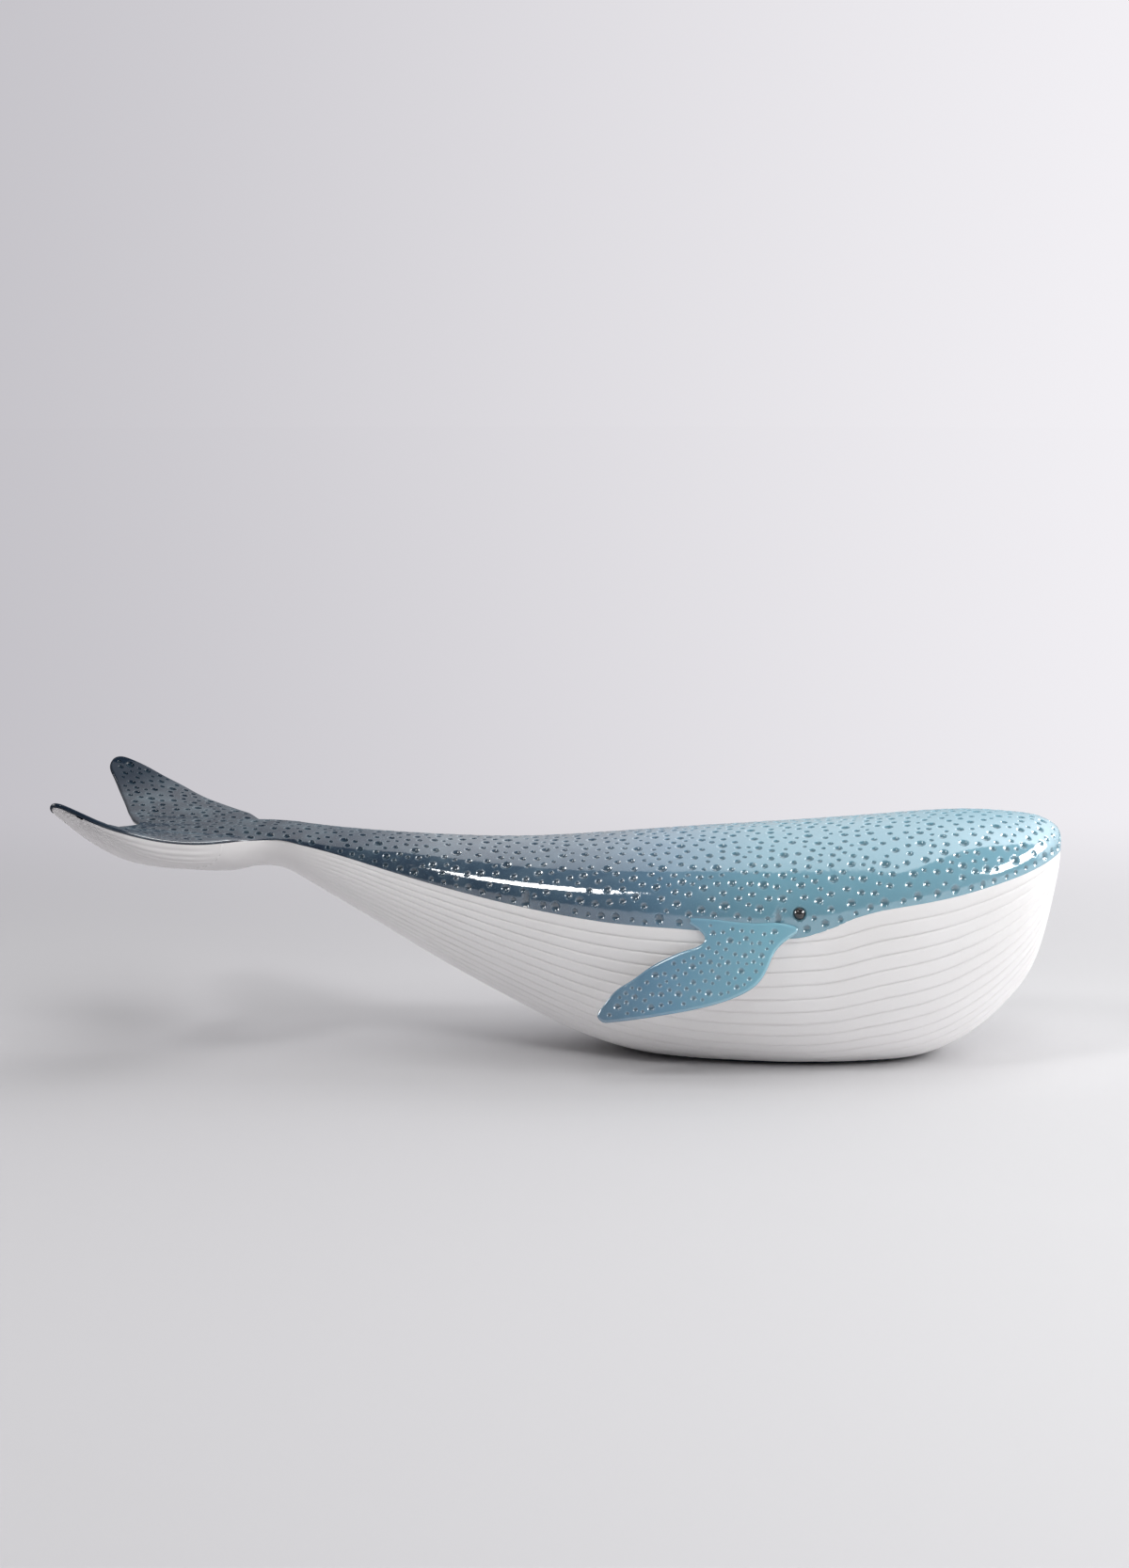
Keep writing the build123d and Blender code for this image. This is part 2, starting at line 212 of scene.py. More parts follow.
room = Paint(bpy.data.worlds.new("studio_room"))
bpy.context.scene.world = room.owner
heading = room.node("ShaderNodeTexCoord")
aim_x, aim_y, aim_z = room.parts(heading)
# Painted light: the backdrop seen by the camera darkens towards the left.
backdrop_share = room.ease(aim_x, backdrop_start, backdrop_end)
seen_backdrop = room.blend(backdrop_share, tone(*backdrop_left), tone(*backdrop_right))
bank_height = room.sum_of("MINIMUM", room.sum_of("MAXIMUM", aim_z, 0.0), bank_top)
to_right = 1 + bank_to_right * room.sum_of("MAXIMUM", aim_x, -0.2)
light_bank = (bank_low + bank_rise * bank_height) * to_right
dim_room = room_low + room_to_right * aim_x
from_bulge = (aim_x - bulge_place) / bulge_width
bank_bulge = bulge_height * room.sum_of("EXPONENT", 0 - from_bulge * from_bulge)
bank_side = room.ease(aim_y - bank_edge_slope * aim_z + bank_bulge, bank_edge_start, bank_edge_end)
room_light = dim_room + bank_side * (light_bank - dim_room)
matt_ray = room.node("ShaderNodeLightPath", (), (), 2)
dimmed = matt_dimming + matt_dimming_right * room.sum_of("MAXIMUM", aim_x, 0.0)
room_light = room_light * (1 - dimmed * matt_ray)
room_colour = room.node("ShaderNodeCombineXYZ", (), {0: room_light, 1: room_light, 2: room_light * 1.02})
camera_ray = room.node("ShaderNodeLightPath")
room.give("Background", Color=room.blend(camera_ray, room_colour, seen_backdrop))

floor_mesh = bpy.data.meshes.new("floor")
floor_angles = [math.tau * k / floor_sides for k in range(floor_sides)]
floor_ring = [(floor_radius * math.cos(angle), floor_radius * math.sin(angle), 0) for angle in floor_angles]
floor_mesh.from_pydata(floor_ring, [], [list(range(floor_sides))])
floor = bpy.data.objects.new("floor", floor_mesh)
bpy.context.collection.objects.link(floor)
sweep = Paint(bpy.data.materials.new("pale_sweep"))
place = sweep.place()
place_x, place_y, _ = sweep.parts(place)
away = sweep.node("ShaderNodeVectorMath", {"operation": "LENGTH"}, {0: place}, 1)
# Painted light: the far floor glows in the backdrop's colours and darkens towards the left.
side_share = sweep.ease((place_x - 0.03) / (away + 1.49), backdrop_start, backdrop_end)
sweep_colour = sweep.blend(side_share, tone(*backdrop_left), tone(*backdrop_right))
# Painted shade: the floor's colour darkens towards the left.
floor_tint = sweep.blend(sweep.ease(place_x, -0.35, 0.30), floor_left, floor_right)
floor_tint = sweep.blend(floor_darkening * sweep.node("ShaderNodeLightPath"), floor_tint, (0, 0, 0, 1))
sweep.give("Principled BSDF", Base_Color=floor_tint, Roughness=0.75, Specular_IOR_Level=0.2)
glow = sweep.node("ShaderNodeEmission", (), {"Color": sweep_colour})
lit_floor = Wire(sweep, sweep.tree.nodes["Principled BSDF"].outputs[0])
far_share = sweep.ease(place_y, horizon_start, horizon_end)
seen_share = far_share * sweep.node("ShaderNodeLightPath")
surface = sweep.node("ShaderNodeMixShader", (), {0: seen_share, 1: lit_floor, 2: glow})
sweep.tree.links.new(surface.socket, sweep.tree.nodes["Material Output"].inputs[0])
floor_mesh.materials.append(sweep.owner)

# Lamps: heading round from the front, lift, distance, width, height, watts, and
# whether matt surfaces feel it and glossy ones mirror it
softboxes = {
    "softbox_left": (-46, 51, 1.5, 0.24, 0.28, 4.0, True, True),
    "softbox_right": (84, 30, 1.4, 1.40, 0.50, 10, True, True),
    "front_fill": (20, 52, 1.6, 1.00, 0.80, 7, True, False),
    "top_fill": (0, 88, 1.0, 0.50, 0.50, 2.4, True, False),
    "glint_left": (-95, 22, 1.4, 0.90, 0.50, 18, False, True),
    "glint_right": (84, 30, 1.39, 1.40, 0.50, 24, False, True),
}
for name, row in softboxes.items():
    heading_deg, lift_deg, distance, width, height, watts, felt_by_matt, mirrored = row
    lamp = bpy.data.lights.new(name, "AREA")
    lamp.shape = "RECTANGLE"
    lamp.size = width
    lamp.size_y = height
    lamp.energy = watts
    holder = bpy.data.objects.new(name, lamp)
    holder.visible_camera = False
    holder.visible_diffuse = felt_by_matt
    holder.visible_glossy = mirrored
    around = math.radians(heading_deg)
    lift = math.radians(lift_deg)
    ray = Vector((math.sin(around) * math.cos(lift), -math.cos(around) * math.cos(lift), math.sin(lift)))
    holder.location = ray * distance
    holder.rotation_mode = "QUATERNION"
    holder.rotation_quaternion = ray.to_track_quat("Z", "Y")
    bpy.context.collection.objects.link(holder)

# Glazed back: the upper casting, slip-cast in white clay, punched all over with small
# round hollows, and fired with a glossy glaze that runs from teal to navy.
nose_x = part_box("back_shell")[1].x / mm
tail_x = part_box("back_shell")[0].x / mm
half_width = 70.0
back_height = 118.0
glaze_edge = 0.25

# Place along the body, half width, widest line, crown, keel, squareness below
body_station_shares = [
    (-0.070, 0.318, 0.900, 0.936, 0.770, 2.00),
    (0.000, 0.314, 0.886, 0.932, 0.746, 2.00),
    (0.042, 0.327, 0.860, 0.918, 0.674, 2.00),
    (0.100, 0.362, 0.812, 0.902, 0.564, 2.00),
    (0.164, 0.425, 0.759, 0.889, 0.439, 2.00),
    (0.232, 0.513, 0.717, 0.879, 0.314, 2.10),
    (0.312, 0.636, 0.686, 0.875, 0.180, 2.20),
    (0.396, 0.766, 0.668, 0.887, 0.057, 2.35),
    (0.484, 0.884, 0.655, 0.907, -0.012, 2.50),
    (0.576, 0.970, 0.650, 0.927, -0.042, 2.50),
    (0.669, 1.000, 0.659, 0.947, -0.053, 2.50),
    (0.756, 0.979, 0.695, 0.969, -0.036, 2.50),
    (0.830, 0.904, 0.741, 0.990, 0.006, 2.50),
    (0.893, 0.775, 0.780, 0.999, 0.107, 2.40),
    (0.941, 0.615, 0.813, 0.992, 0.250, 2.30),
    (0.972, 0.433, 0.838, 0.979, 0.418, 2.20),
    (0.9895, 0.264, 0.851, 0.953, 0.640, 2.10),
    (0.9976, 0.120, 0.858, 0.918, 0.784, 2.00),
    (0.9991, 0.045, 0.861, 0.886, 0.836, 2.00),
    (1.000, 0.000, 0.861, 0.861, 0.861, 2.00),
]

# Border between glaze and bare clay: place along the body, height
border_shares = [
    (-0.070, 0.905),
    (0.000, 0.888),
    (0.042, 0.863),
    (0.103, 0.812),
    (0.164, 0.758),
    (0.225, 0.712),
    (0.285, 0.673),
    (0.346, 0.642),
    (0.404, 0.620),
    (0.465, 0.608),
    (0.523, 0.603),
    (0.602, 0.583),
    (0.639, 0.574),
    (0.662, 0.582),
    (0.686, 0.604),
    (0.710, 0.634),
    (0.726, 0.657),
    (0.755, 0.687),
    (0.784, 0.704),
    (0.842, 0.731),
    (0.903, 0.772),
    (0.950, 0.810),
    (0.979, 0.837),
    (0.997, 0.855),
    (1.020, 0.872),
]


def spline_through(knots, values):
    """A natural cubic spline through given rows, as a function of place."""
    knots = np.asarray(knots, float)
    values = np.asarray(values, float).reshape(len(knots), -1)
    gaps = np.diff(knots)
    grid = np.eye(len(knots))
    pull = np.zeros_like(values)
    for k in range(1, len(knots) - 1):
        grid[k, k - 1 : k + 2] = gaps[k - 1], 2 * (gaps[k - 1] + gaps[k]), gaps[k]
        pull[k] = 6 * ((values[k + 1] - values[k]) / gaps[k] - (values[k] - values[k - 1]) / gaps[k - 1])
    bends = np.linalg.solve(grid, pull)

    def curve(places):
        """Values at some places, which are held within the first and the last knot."""
        places = np.clip(np.atleast_1d(np.asarray(places, float)), knots[0], knots[-1])
        k = np.clip(np.searchsorted(knots, places) - 1, 0, len(gaps) - 1)
        gap = gaps[k][:, None]
        after = (places[:, None] - knots[k][:, None]) / gap
        before = 1 - after
        swell = (before**3 - before) * bends[k] + (after**3 - after) * bends[k + 1]
        return before * values[k] + after * values[k + 1] + swell * gap**2 / 6

    return curve


def soft_step(value):
    """0 up to 0, 1 from 1, and smooth between them."""
    share = np.clip(value, 0, 1)
    return share * share * (3 - 2 * share)


# Travel runs along the plan outline of the body, from 0 at the tail joint to the nose
stations = np.array(body_station_shares)
stations[:, 0] = tail_x + stations[:, 0] * (nose_x - tail_x)
stations[:, 1] *= half_width
stations[:, 2:5] *= back_height
steps = np.hypot(np.diff(stations[:, 0]), np.diff(stations[:, 1]))
travel_knots = np.concatenate([[0], np.cumsum(steps)]) - steps[0]
travel_end = travel_knots[-1]
body_curve = spline_through(travel_knots, stations)
borders = np.array(border_shares)
border_curve = spline_through(tail_x + borders[:, 0] * (nose_x - tail_x), borders[:, 1] * back_height)

# Table of section angles, by travel and by share of the way from crown to keel
table_travel = np.arange(travel_knots[0], travel_end, 1.0)
table_angles = np.linspace(math.pi / 2, -math.pi / 2, 241)
table_shares = np.linspace(0, 1, 201)


def run_along(line):
    """Distance of each point of a line from its start, along the line."""
    return np.concatenate([[0], np.cumsum(np.linalg.norm(np.diff(line, axis=0), axis=1))])


def run_round(y, z):
    """Distance of each point of a section from its first, round the section."""
    return np.concatenate([[0], np.cumsum(np.hypot(np.diff(y), np.diff(z)))])


def section_at(rows, angles):
    """Half section of the body at an angle: 90 degrees is the crown, -90 the keel."""
    x, half, widest, crown, keel, fullness = rows.T
    rise = np.sin(angles)
    power = np.where(rise < 0, 2 / fullness, 1)
    reach = np.where(rise < 0, widest - keel, crown - widest)
    y = half * np.abs(np.cos(angles)) ** power
    z = widest + reach * np.sign(rise) * np.abs(rise) ** power
    return x, y, z


def half_section(row):
    """Heights of one half section from crown to keel, and distances from the crown."""
    _, y, z = section_at(np.tile(row, (len(table_angles), 1)), table_angles)
    return z, run_round(y, z)


table_length = np.zeros(len(table_travel))
table_border = np.zeros(len(table_travel))
table_turn = np.zeros((len(table_travel), len(table_shares)))
for k, row in enumerate(body_curve(table_travel)):
    heights, lengths = half_section(row)
    table_length[k] = lengths[-1]
    table_border[k] = np.interp(-border_curve(row[0])[0, 0], -heights, lengths)
    table_turn[k] = np.interp(table_shares * lengths[-1], lengths, table_angles)


def girth_at(travel):
    """Distance round the half section from crown to keel."""
    return np.interp(travel, np.append(table_travel, travel_end), np.append(table_length, 0.0))


def body_point(travel, across):
    """Point of the body, from travel and the distance round it from the crown."""
    travel = np.asarray(travel, float)
    share = np.clip(np.abs(across) / np.maximum(girth_at(travel), 1e-6), 0, 1) * (len(table_shares) - 1)
    row = np.clip((travel - table_travel[0]) / 1.0, 0, len(table_travel) - 1.001)
    i, j = row.astype(int), np.minimum(share.astype(int), len(table_shares) - 2)
    a, b = row - i, share - j
    upper = table_turn[i, j] * (1 - b) + table_turn[i, j + 1] * b
    lower = table_turn[i + 1, j] * (1 - b) + table_turn[i + 1, j + 1] * b
    x, y, z = section_at(body_curve(travel), upper * (1 - a) + lower * a)
    return np.column_stack([x, np.sign(across) * y, z])


# Fluke ribs, middle outwards: along the half span, leading edge along the chord and its
# rise, trailing edge along the chord and its rise, depth of the underside
fluke_half_span = 81.0
fluke_chord = 100.6
fluke_height = 109.0
fluke_tip_rise = 23.0
fluke_depth = 21.8
rim_radius = 1.15
join_front = tail_x + 12.0
join_rear = tail_x - 24.0
fluke_rib_shares = [
    (0.000, -0.676, 0.04, 0.712, 0.00, 0.97),
    (0.148, -0.268, 0.02, 0.764, 0.03, 0.90),
    (0.247, -0.018, -0.13, 0.790, 0.07, 0.84),
    (0.309, 0.065, -0.12, 0.808, 0.10, 0.82),
    (0.395, 0.145, -0.065, 0.831, 0.17, 0.81),
    (0.519, 0.235, -0.03, 0.866, 0.29, 0.78),
    (0.667, 0.346, 0.02, 0.912, 0.47, 0.72),
    (0.815, 0.502, 0.17, 0.964, 0.71, 0.57),
    (0.926, 0.631, 0.38, 0.985, 0.91, 0.34),
    (0.975, 0.736, 0.58, 0.957, 1.00, 0.22),
    (0.994, 0.810, 0.74, 0.885, 0.92, 0.15),
]
ribs = np.array(fluke_rib_shares)
ribs = np.column_stack(
    [
        ribs[:, 0] * fluke_half_span,
        tail_x - ribs[:, 1] * fluke_chord,
        fluke_height + ribs[:, 2] * fluke_tip_rise,
        tail_x - ribs[:, 3] * fluke_chord,
        fluke_height + ribs[:, 4] * fluke_tip_rise,
        ribs[:, 5] * fluke_depth,
    ]
)
mirrored_ribs = np.concatenate([ribs[:0:-1] * [-1, 1, 1, 1, 1, 1], ribs])
rib_curve = spline_through(mirrored_ribs[:, 0], mirrored_ribs[:, 1:])


def fluke_top(x, y):
    """Height of the glazed top of the flukes."""
    front_x, front_z, rear_x, rear_z, _ = rib_curve(y).T
    return front_z + (rear_z - front_z) * (front_x - x) / (front_x - rear_x)


edge_turn_depth = 0.55
edge_turn_width = 5.0
edge_turn_start = -165
edge_turn_fade = 50
edge_table = np.zeros((0, 2))


def join_share(x):
    """0 on the body and 1 on the flukes, over the stretch where they flow together."""
    return soft_step((join_front - x) / (join_front - join_rear))


def turned_under(x, gap):
    """How far the skin draws in close to the border, at a distance from it."""
    fade = soft_step((x - edge_turn_start) / edge_turn_fade)
    return edge_turn_depth * fade * np.clip(1 - np.abs(gap) / edge_turn_width, 0, 1) ** 2


def back_point(travel, across):
    """Point of the glazed back or of the fluke top."""
    body = body_point(np.maximum(travel, travel_knots[0]), across)
    if len(edge_table):
        gap = np.interp(travel, edge_table[:, 0], edge_table[:, 1]) - np.abs(across)
        body[:, 1] -= np.sign(across) * turned_under(body[:, 0], gap)
    x = np.where(travel < 0, tail_x + travel, body[:, 0])
    fluke = np.column_stack([x, across, fluke_top(x, across)])
    share = join_share(x)[:, None]
    return body * (1 - share) + fluke * share


def back_normal(travel, across, nudge=0.05):
    """Outward direction of the glazed back or of the fluke top."""
    along = back_point(travel + nudge, across) - back_point(travel - nudge, across)
    around = back_point(travel, across + nudge) - back_point(travel, across - nudge)
    normal = np.cross(along, around)
    return normal / np.linalg.norm(normal, axis=1, keepdims=True)


def even_line(line, step, flatten):
    """The same line with points an even step apart on the flattened skin."""
    run = run_along(flatten(line[:, 0], line[:, 1]))
    places = np.linspace(0, run[-1], max(2, int(round(run[-1] / step)) + 1))
    return np.column_stack([np.interp(places, run, line[:, 0]), np.interp(places, run, line[:, 1])])


def drawn_in(outline, inset):
    """A closed outline moved inwards, without the loops that sharp corners would make."""
    before, after = np.roll(outline, 1, axis=0), np.roll(outline, -1, axis=0)
    edge = after - before
    inward = np.column_stack([-edge[:, 1], edge[:, 0]]) / np.linalg.norm(edge, axis=1, keepdims=True)
    moved = outline + inward * inset
    clear = np.array([np.min(np.linalg.norm(outline - point, axis=1)) for point in moved])
    return moved[clear > inset * 0.985]


def within(points, outline):
    """Which points lie inside a closed outline."""
    inside = np.zeros(len(points), bool)
    for (x1, y1), (x2, y2) in zip(outline, np.roll(outline, -1, axis=0)):
        if y1 == y2:
            continue
        crosses = (y1 > points[:, 1]) != (y2 > points[:, 1])
        inside ^= crosses & (points[:, 0] < (x2 - x1) * (points[:, 1] - y1) / (y2 - y1) + x1)
    return inside


def turned_area(outline):
    """Area of a closed outline, positive where it runs anticlockwise."""
    after = np.roll(outline, -1, axis=0)
    return np.sum(outline[:, 0] * after[:, 1] - outline[:, 1] * after[:, 0]) / 2


def nearest(points, others):
    """Distance from each point to the nearest of the others, and which one it is."""
    distance = np.full(len(points), np.inf)
    which = np.zeros(len(points), int)
    block = 2000
    for start in range(0, len(points), block):
        rows = slice(start, start + block)
        gaps = np.linalg.norm(points[rows, None] - others[None], axis=2)
        which[rows] = gaps.argmin(axis=1)
        distance[rows] = gaps.min(axis=1)
    return distance, which


# Punched hollows: radius, least distance between hollows of that size or larger
pit_sizes = [(2.65, 20.0), (2.2, 10.5), (1.8, 6.0), (1.4, 4.9)]
pit_gap = 0.45
pit_foot = 1.25
pit_depth_share = 0.50
pit_lip_share = 0.05
# Rings of a hollow as shares of its radius, and points on each, by least radius
pit_ring_shares = [
    (2.0, 16, (0.35, 0.62, 0.80, 0.92, 1.05, pit_foot)),
    (1.5, 13, (0.42, 0.74, 0.92, 1.05, pit_foot)),
    (0.0, 10, (0.50, 0.85, 1.05, pit_foot)),
]


def pit_profile(share):
    """Height and slope of a hollow, for a radius of 1: a round bowl, a lip and a foot."""
    bowl, crest, foot = 0.92, 1.05, pit_foot
    ball = (1 + pit_depth_share**2) / (2 * pit_depth_share)
    inner = np.minimum(share, bowl)
    drop = np.sqrt(ball**2 - inner**2)
    rim = math.sqrt(ball**2 - 1)
    height = np.where(share < bowl, rim - drop, 0.0)
    slope = np.where(share < bowl, inner / drop, 0.0)
    edge_drop = math.sqrt(ball**2 - bowl**2)
    pieces = [
        (bowl, crest, rim - edge_drop, pit_lip_share, bowl / edge_drop, 0.0),
        (crest, foot, pit_lip_share, 0.0, 0.0, 0.0),
    ]
    for start, end, low, high, slope_in, slope_out in pieces:
        span = end - start
        u = np.clip((share - start) / span, 0, 1)
        here = (share >= start) & (share <= end)
        curve = (
            low * (2 * u**3 - 3 * u**2 + 1)
            + high * (3 * u**2 - 2 * u**3)
            + span * slope_in * (u**3 - 2 * u**2 + u)
            + span * slope_out * (u**3 - u**2)
        )
        rate = (
            (high - low) * (6 * u - 6 * u**2) / span
            + slope_in * (3 * u**2 - 4 * u + 1)
            + slope_out * (3 * u**2 - 2 * u)
        )
        height = np.where(here, curve, height)
        slope = np.where(here, rate, slope)
    return height, slope


def scattered_pits(point, flatten, corners, edge_line, first_pits, scale, seed, tries):
    """Hollows set at random but evenly, the large ones first, clear of the edge."""
    dice = random.Random(seed)
    (low_u, low_w), (high_u, high_w) = corners
    spots = np.array([(dice.uniform(low_u, high_u), dice.uniform(low_w, high_w)) for k in range(tries)])
    edge_flat = flatten(edge_line[:, 0], edge_line[:, 1])
    spots = spots[within(flatten(spots[:, 0], spots[:, 1]), edge_flat)]
    edge_gap = nearest(flatten(spots[:, 0], spots[:, 1]), edge_flat)[0]
    places = point(spots[:, 0], spots[:, 1])
    sizes = scale(places[:, 0])
    first_places = [point(np.array([u]), np.array([w]))[0] for u, w, radius in first_pits]
    kept = list(first_pits)
    kept_places = np.full((len(spots) + len(kept), 3), 1e6)
    kept_radii = np.zeros(len(spots) + len(kept))
    for k, (place_3d, pit) in enumerate(zip(first_places, first_pits)):
        kept_places[k] = place_3d
        kept_radii[k] = pit[2]
    for radius, own_gap in pit_sizes:
        for spot, place_3d, size, gap in zip(spots, places, sizes, edge_gap):
            if gap < pit_foot * radius * size + pit_gap:
                continue
            away = np.linalg.norm(kept_places[: len(kept)] - place_3d, axis=1)
            room_left = away - pit_foot * (kept_radii[: len(kept)] + radius * size) - pit_gap * size
            if len(kept) and room_left.min() < 0:
                continue
            alike = kept_radii[: len(kept)] > radius * size * 0.9
            if np.any(away[alike] < own_gap * size):
                continue
            kept_places[len(kept)] = place_3d
            kept_radii[len(kept)] = radius * size
            kept.append((spot[0], spot[1], radius * size))
    return kept


def punched_skin(point, normal, flatten, edge_line, pits, fill_step):
    """Corners, directions, hollowness and faces of a skin with rings round each hollow."""
    places = [edge_line]
    lifts = [np.zeros(len(edge_line))]
    tilts = [np.zeros((len(edge_line), 3))]
    hollows = [np.zeros(len(edge_line))]
    nudge = 0.05
    for u, w, radius in pits:
        here = np.array([u]), np.array([w])
        along = (point(here[0] + nudge, here[1]) - point(here[0] - nudge, here[1]))[0] / (2 * nudge)
        around = (point(here[0], here[1] + nudge) - point(here[0], here[1] - nudge))[0] / (2 * nudge)
        stretch = np.linalg.norm(along)
        first = along / stretch
        lean = around @ first
        second = around - lean * first
        width = np.linalg.norm(second)
        second /= width
        _, count, rings = next(row for row in pit_ring_shares if radius >= row[0])
        shares = np.concatenate([[0.0], np.repeat(rings, count)])
        angles = np.concatenate([[0.0], np.tile(math.tau * np.arange(count) / count, len(rings))])
        right, up = shares * radius * np.cos(angles), shares * radius * np.sin(angles)
        step_w = up / width
        step_u = (right - step_w * lean) / stretch
        height, slope = pit_profile(shares)
        places.append(np.column_stack([u + step_u, w + step_w]))
        lifts.append(height * radius)
        outward = np.cos(angles)[:, None] * first + np.sin(angles)[:, None] * second
        tilts.append(-slope[:, None] * outward)
        hollows.append(-height / pit_depth_share)
    centres = np.array([(u, w) for u, w, radius in pits])
    radii = np.array([radius for u, w, radius in pits])
    edge_flat = flatten(edge_line[:, 0], edge_line[:, 1])
    low, high = edge_line.min(axis=0), edge_line.max(axis=0)
    lattice = np.array(
        [
            (low[0] + fill_step * (i + 0.5 * (j % 2)), low[1] + fill_step * 0.87 * j)
            for i in range(int((high[0] - low[0]) / fill_step) + 1)
            for j in range(int((high[1] - low[1]) / (fill_step * 0.87)) + 1)
        ]
    )
    lattice_flat = flatten(lattice[:, 0], lattice[:, 1])
    keep = within(lattice_flat, edge_flat) & (nearest(lattice_flat, edge_flat)[0] > 0.45 * fill_step)
    lattice = lattice[keep]
    if len(pits):
        gap, which = nearest(point(lattice[:, 0], lattice[:, 1]), point(centres[:, 0], centres[:, 1]))
        lattice = lattice[gap > pit_foot * radii[which] + 0.4 * fill_step]
    places.append(lattice)
    lifts.append(np.zeros(len(lattice)))
    tilts.append(np.zeros((len(lattice), 3)))
    hollows.append(np.zeros(len(lattice)))
    places = np.concatenate(places)
    flat = flatten(places[:, 0], places[:, 1])
    loop = [(k, (k + 1) % len(edge_line)) for k in range(len(edge_line))]
    _, _, faces, sources, _, _ = delaunay_2d_cdt([Vector(p) for p in flat], loop, [], 1, 1e-6)
    order = np.array([ids[0] for ids in sources])
    base = point(places[:, 0], places[:, 1])
    out = normal(places[:, 0], places[:, 1])
    corners = base + out * np.concatenate(lifts)[:, None]
    leaning = out + np.concatenate(tilts)
    leaning /= np.linalg.norm(leaning, axis=1, keepdims=True)
    faces = order[np.array(faces)]
    return corners, leaning, np.concatenate(hollows), faces


def rolled_edge(corners, directions, chain, radii, turns, wall):
    """Extra rings that roll an edge over: quarter turns of a radius, then a straight wall."""
    edge = corners[chain]
    up = directions[chain]
    run = np.gradient(edge, axis=0)
    out = np.cross(run, up)
    out /= np.linalg.norm(out, axis=1, keepdims=True)
    new_corners, new_directions = [], []
    for angle in turns:
        shift = np.sin(angle) * out + (np.cos(angle) - 1) * up
        new_corners.append(edge + shift * radii[:, None])
        new_directions.append(np.cos(angle) * up + np.sin(angle) * out)
    if wall:
        new_corners.append(new_corners[-1] - up * wall)
        new_directions.append(new_directions[-1])
    rings = [np.asarray(chain)]
    for k in range(len(new_corners)):
        rings.append(len(corners) + k * len(chain) + np.arange(len(chain)))
    quads = []
    for inner, outer in zip(rings, rings[1:]):
        quads += list(zip(inner[:-1], outer[:-1], outer[1:], inner[1:]))
    return np.concatenate(new_corners), np.concatenate(new_directions), quads


def placed(name, mesh):
    """The mesh as an object of the scene."""
    made = bpy.data.objects.new(name, mesh)
    bpy.context.collection.objects.link(made)
    return made


def shaped_mesh(name, corners, faces, directions=None, attributes=()):
    """A mesh object from corners in millimetres, smooth, with its own corner normals."""
    mesh = bpy.data.meshes.new(name)
    mesh.from_pydata((np.asarray(corners) * mm).tolist(), [], [list(map(int, face)) for face in faces])
    mesh.shade_smooth()
    for key, values in dict(attributes).items():
        mesh.attributes.new(key, "FLOAT", "POINT").data.foreach_set("value", np.asarray(values, np.float32))
    if directions is not None:
        mesh.normals_split_custom_set_from_vertices(directions.tolist())
    return placed(name, mesh)


# Outline of the flukes in plan, drawn in by the radius of their rounded rim
outline_knots = np.concatenate([ribs[1:2, [3, 0]] * [1, -1], ribs[:, [3, 0]], ribs[::-1, [1, 0]]])
outline_runs = run_along(outline_knots)
outline_curve = spline_through(outline_runs, outline_knots)
fluke_outline = outline_curve(np.arange(outline_runs[1], outline_runs[-1], 0.5))
fluke_outline[:, 1] = np.minimum(fluke_outline[:, 1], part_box("fluke_upper_shell")[1].y / mm - 0.05)
closed_outline = np.concatenate([fluke_outline, (fluke_outline * [1, -1])[::-1]])


def fluke_edges(inset):
    """Trailing edge and leading edge of one fluke, drawn in: outwards, then back."""
    line = drawn_in(closed_outline[::-1], inset)
    line = line[line[:, 1] > 0.3][::-1]
    widest = int(np.argmax(line[:, 1]))
    return line[: widest + 1], line[widest:]


fluke_rear, fluke_front = fluke_edges(rim_radius)


def edge_across(travel):
    """Distance from the crown to the edge of the glaze, on the body and up to the flukes."""
    x = np.where(travel < 0, tail_x + travel, body_curve(np.maximum(travel, 0))[:, 0])
    on_body = np.interp(travel, table_travel, table_border)
    on_body = np.minimum(on_body, girth_at(travel) * 0.999)
    order = np.argsort(fluke_front[:, 0])
    on_fluke = np.interp(x, fluke_front[order, 0], fluke_front[order, 1])
    share = join_share(x)
    return on_body * (1 - share) + on_fluke * share


def unrolled(travel, across):
    """The body's skin laid flat round the nose, close to its true size."""
    reach = np.maximum(travel_end - travel, 1e-3)
    angle = np.clip(across / reach, -math.pi, math.pi)
    beyond = 1000 * (np.abs(across / reach) >= math.pi)
    return np.column_stack([beyond - reach * np.cos(angle), reach * np.sin(angle)])


def plan(travel, across):
    """The fluke's skin laid flat: it is nearly flat already."""
    return np.column_stack([travel, across])


edge_table = np.column_stack([table_travel, edge_across(table_travel)])
edge_step = 0.9
nose_gap = 0.4
joint_steps = 51
side_travel = np.append(np.arange(0, travel_end - nose_gap, 0.1), travel_end - nose_gap)
side_across = edge_across(side_travel)
side_line = even_line(np.column_stack([side_travel, side_across]), edge_step, unrolled)
joint_width = side_line[0, 1]
joint_line = np.linspace(-joint_width, joint_width, joint_steps + 2)[1:-1]
# Anticlockwise: along the right side to the nose, back along the left, across the joint
joint_edge = np.column_stack([np.zeros(joint_steps), joint_line])
body_edge = np.concatenate([side_line * [1, -1], side_line[-2::-1], joint_edge[::-1]])
body_chain = np.arange(2 * len(side_line) - 1)

# The eye seat and a row of hollows that follows the border come before the others
eye_x = 12.2
eye_height = 80.0
eye_seat_radius = 3.45
row_pit_radii = [1.4, 1.6, 1.9, 2.1, 2.4]
narrow_travel = 110
narrow_pit_share = 0.85


def flank_place(x, height):
    """Travel and distance from the crown of a point of the flank."""
    travel = np.interp(x, body_curve(table_travel)[:, 0], table_travel)
    heights, lengths = half_section(body_curve(travel)[0])
    return travel, float(np.interp(-height, -heights, lengths))


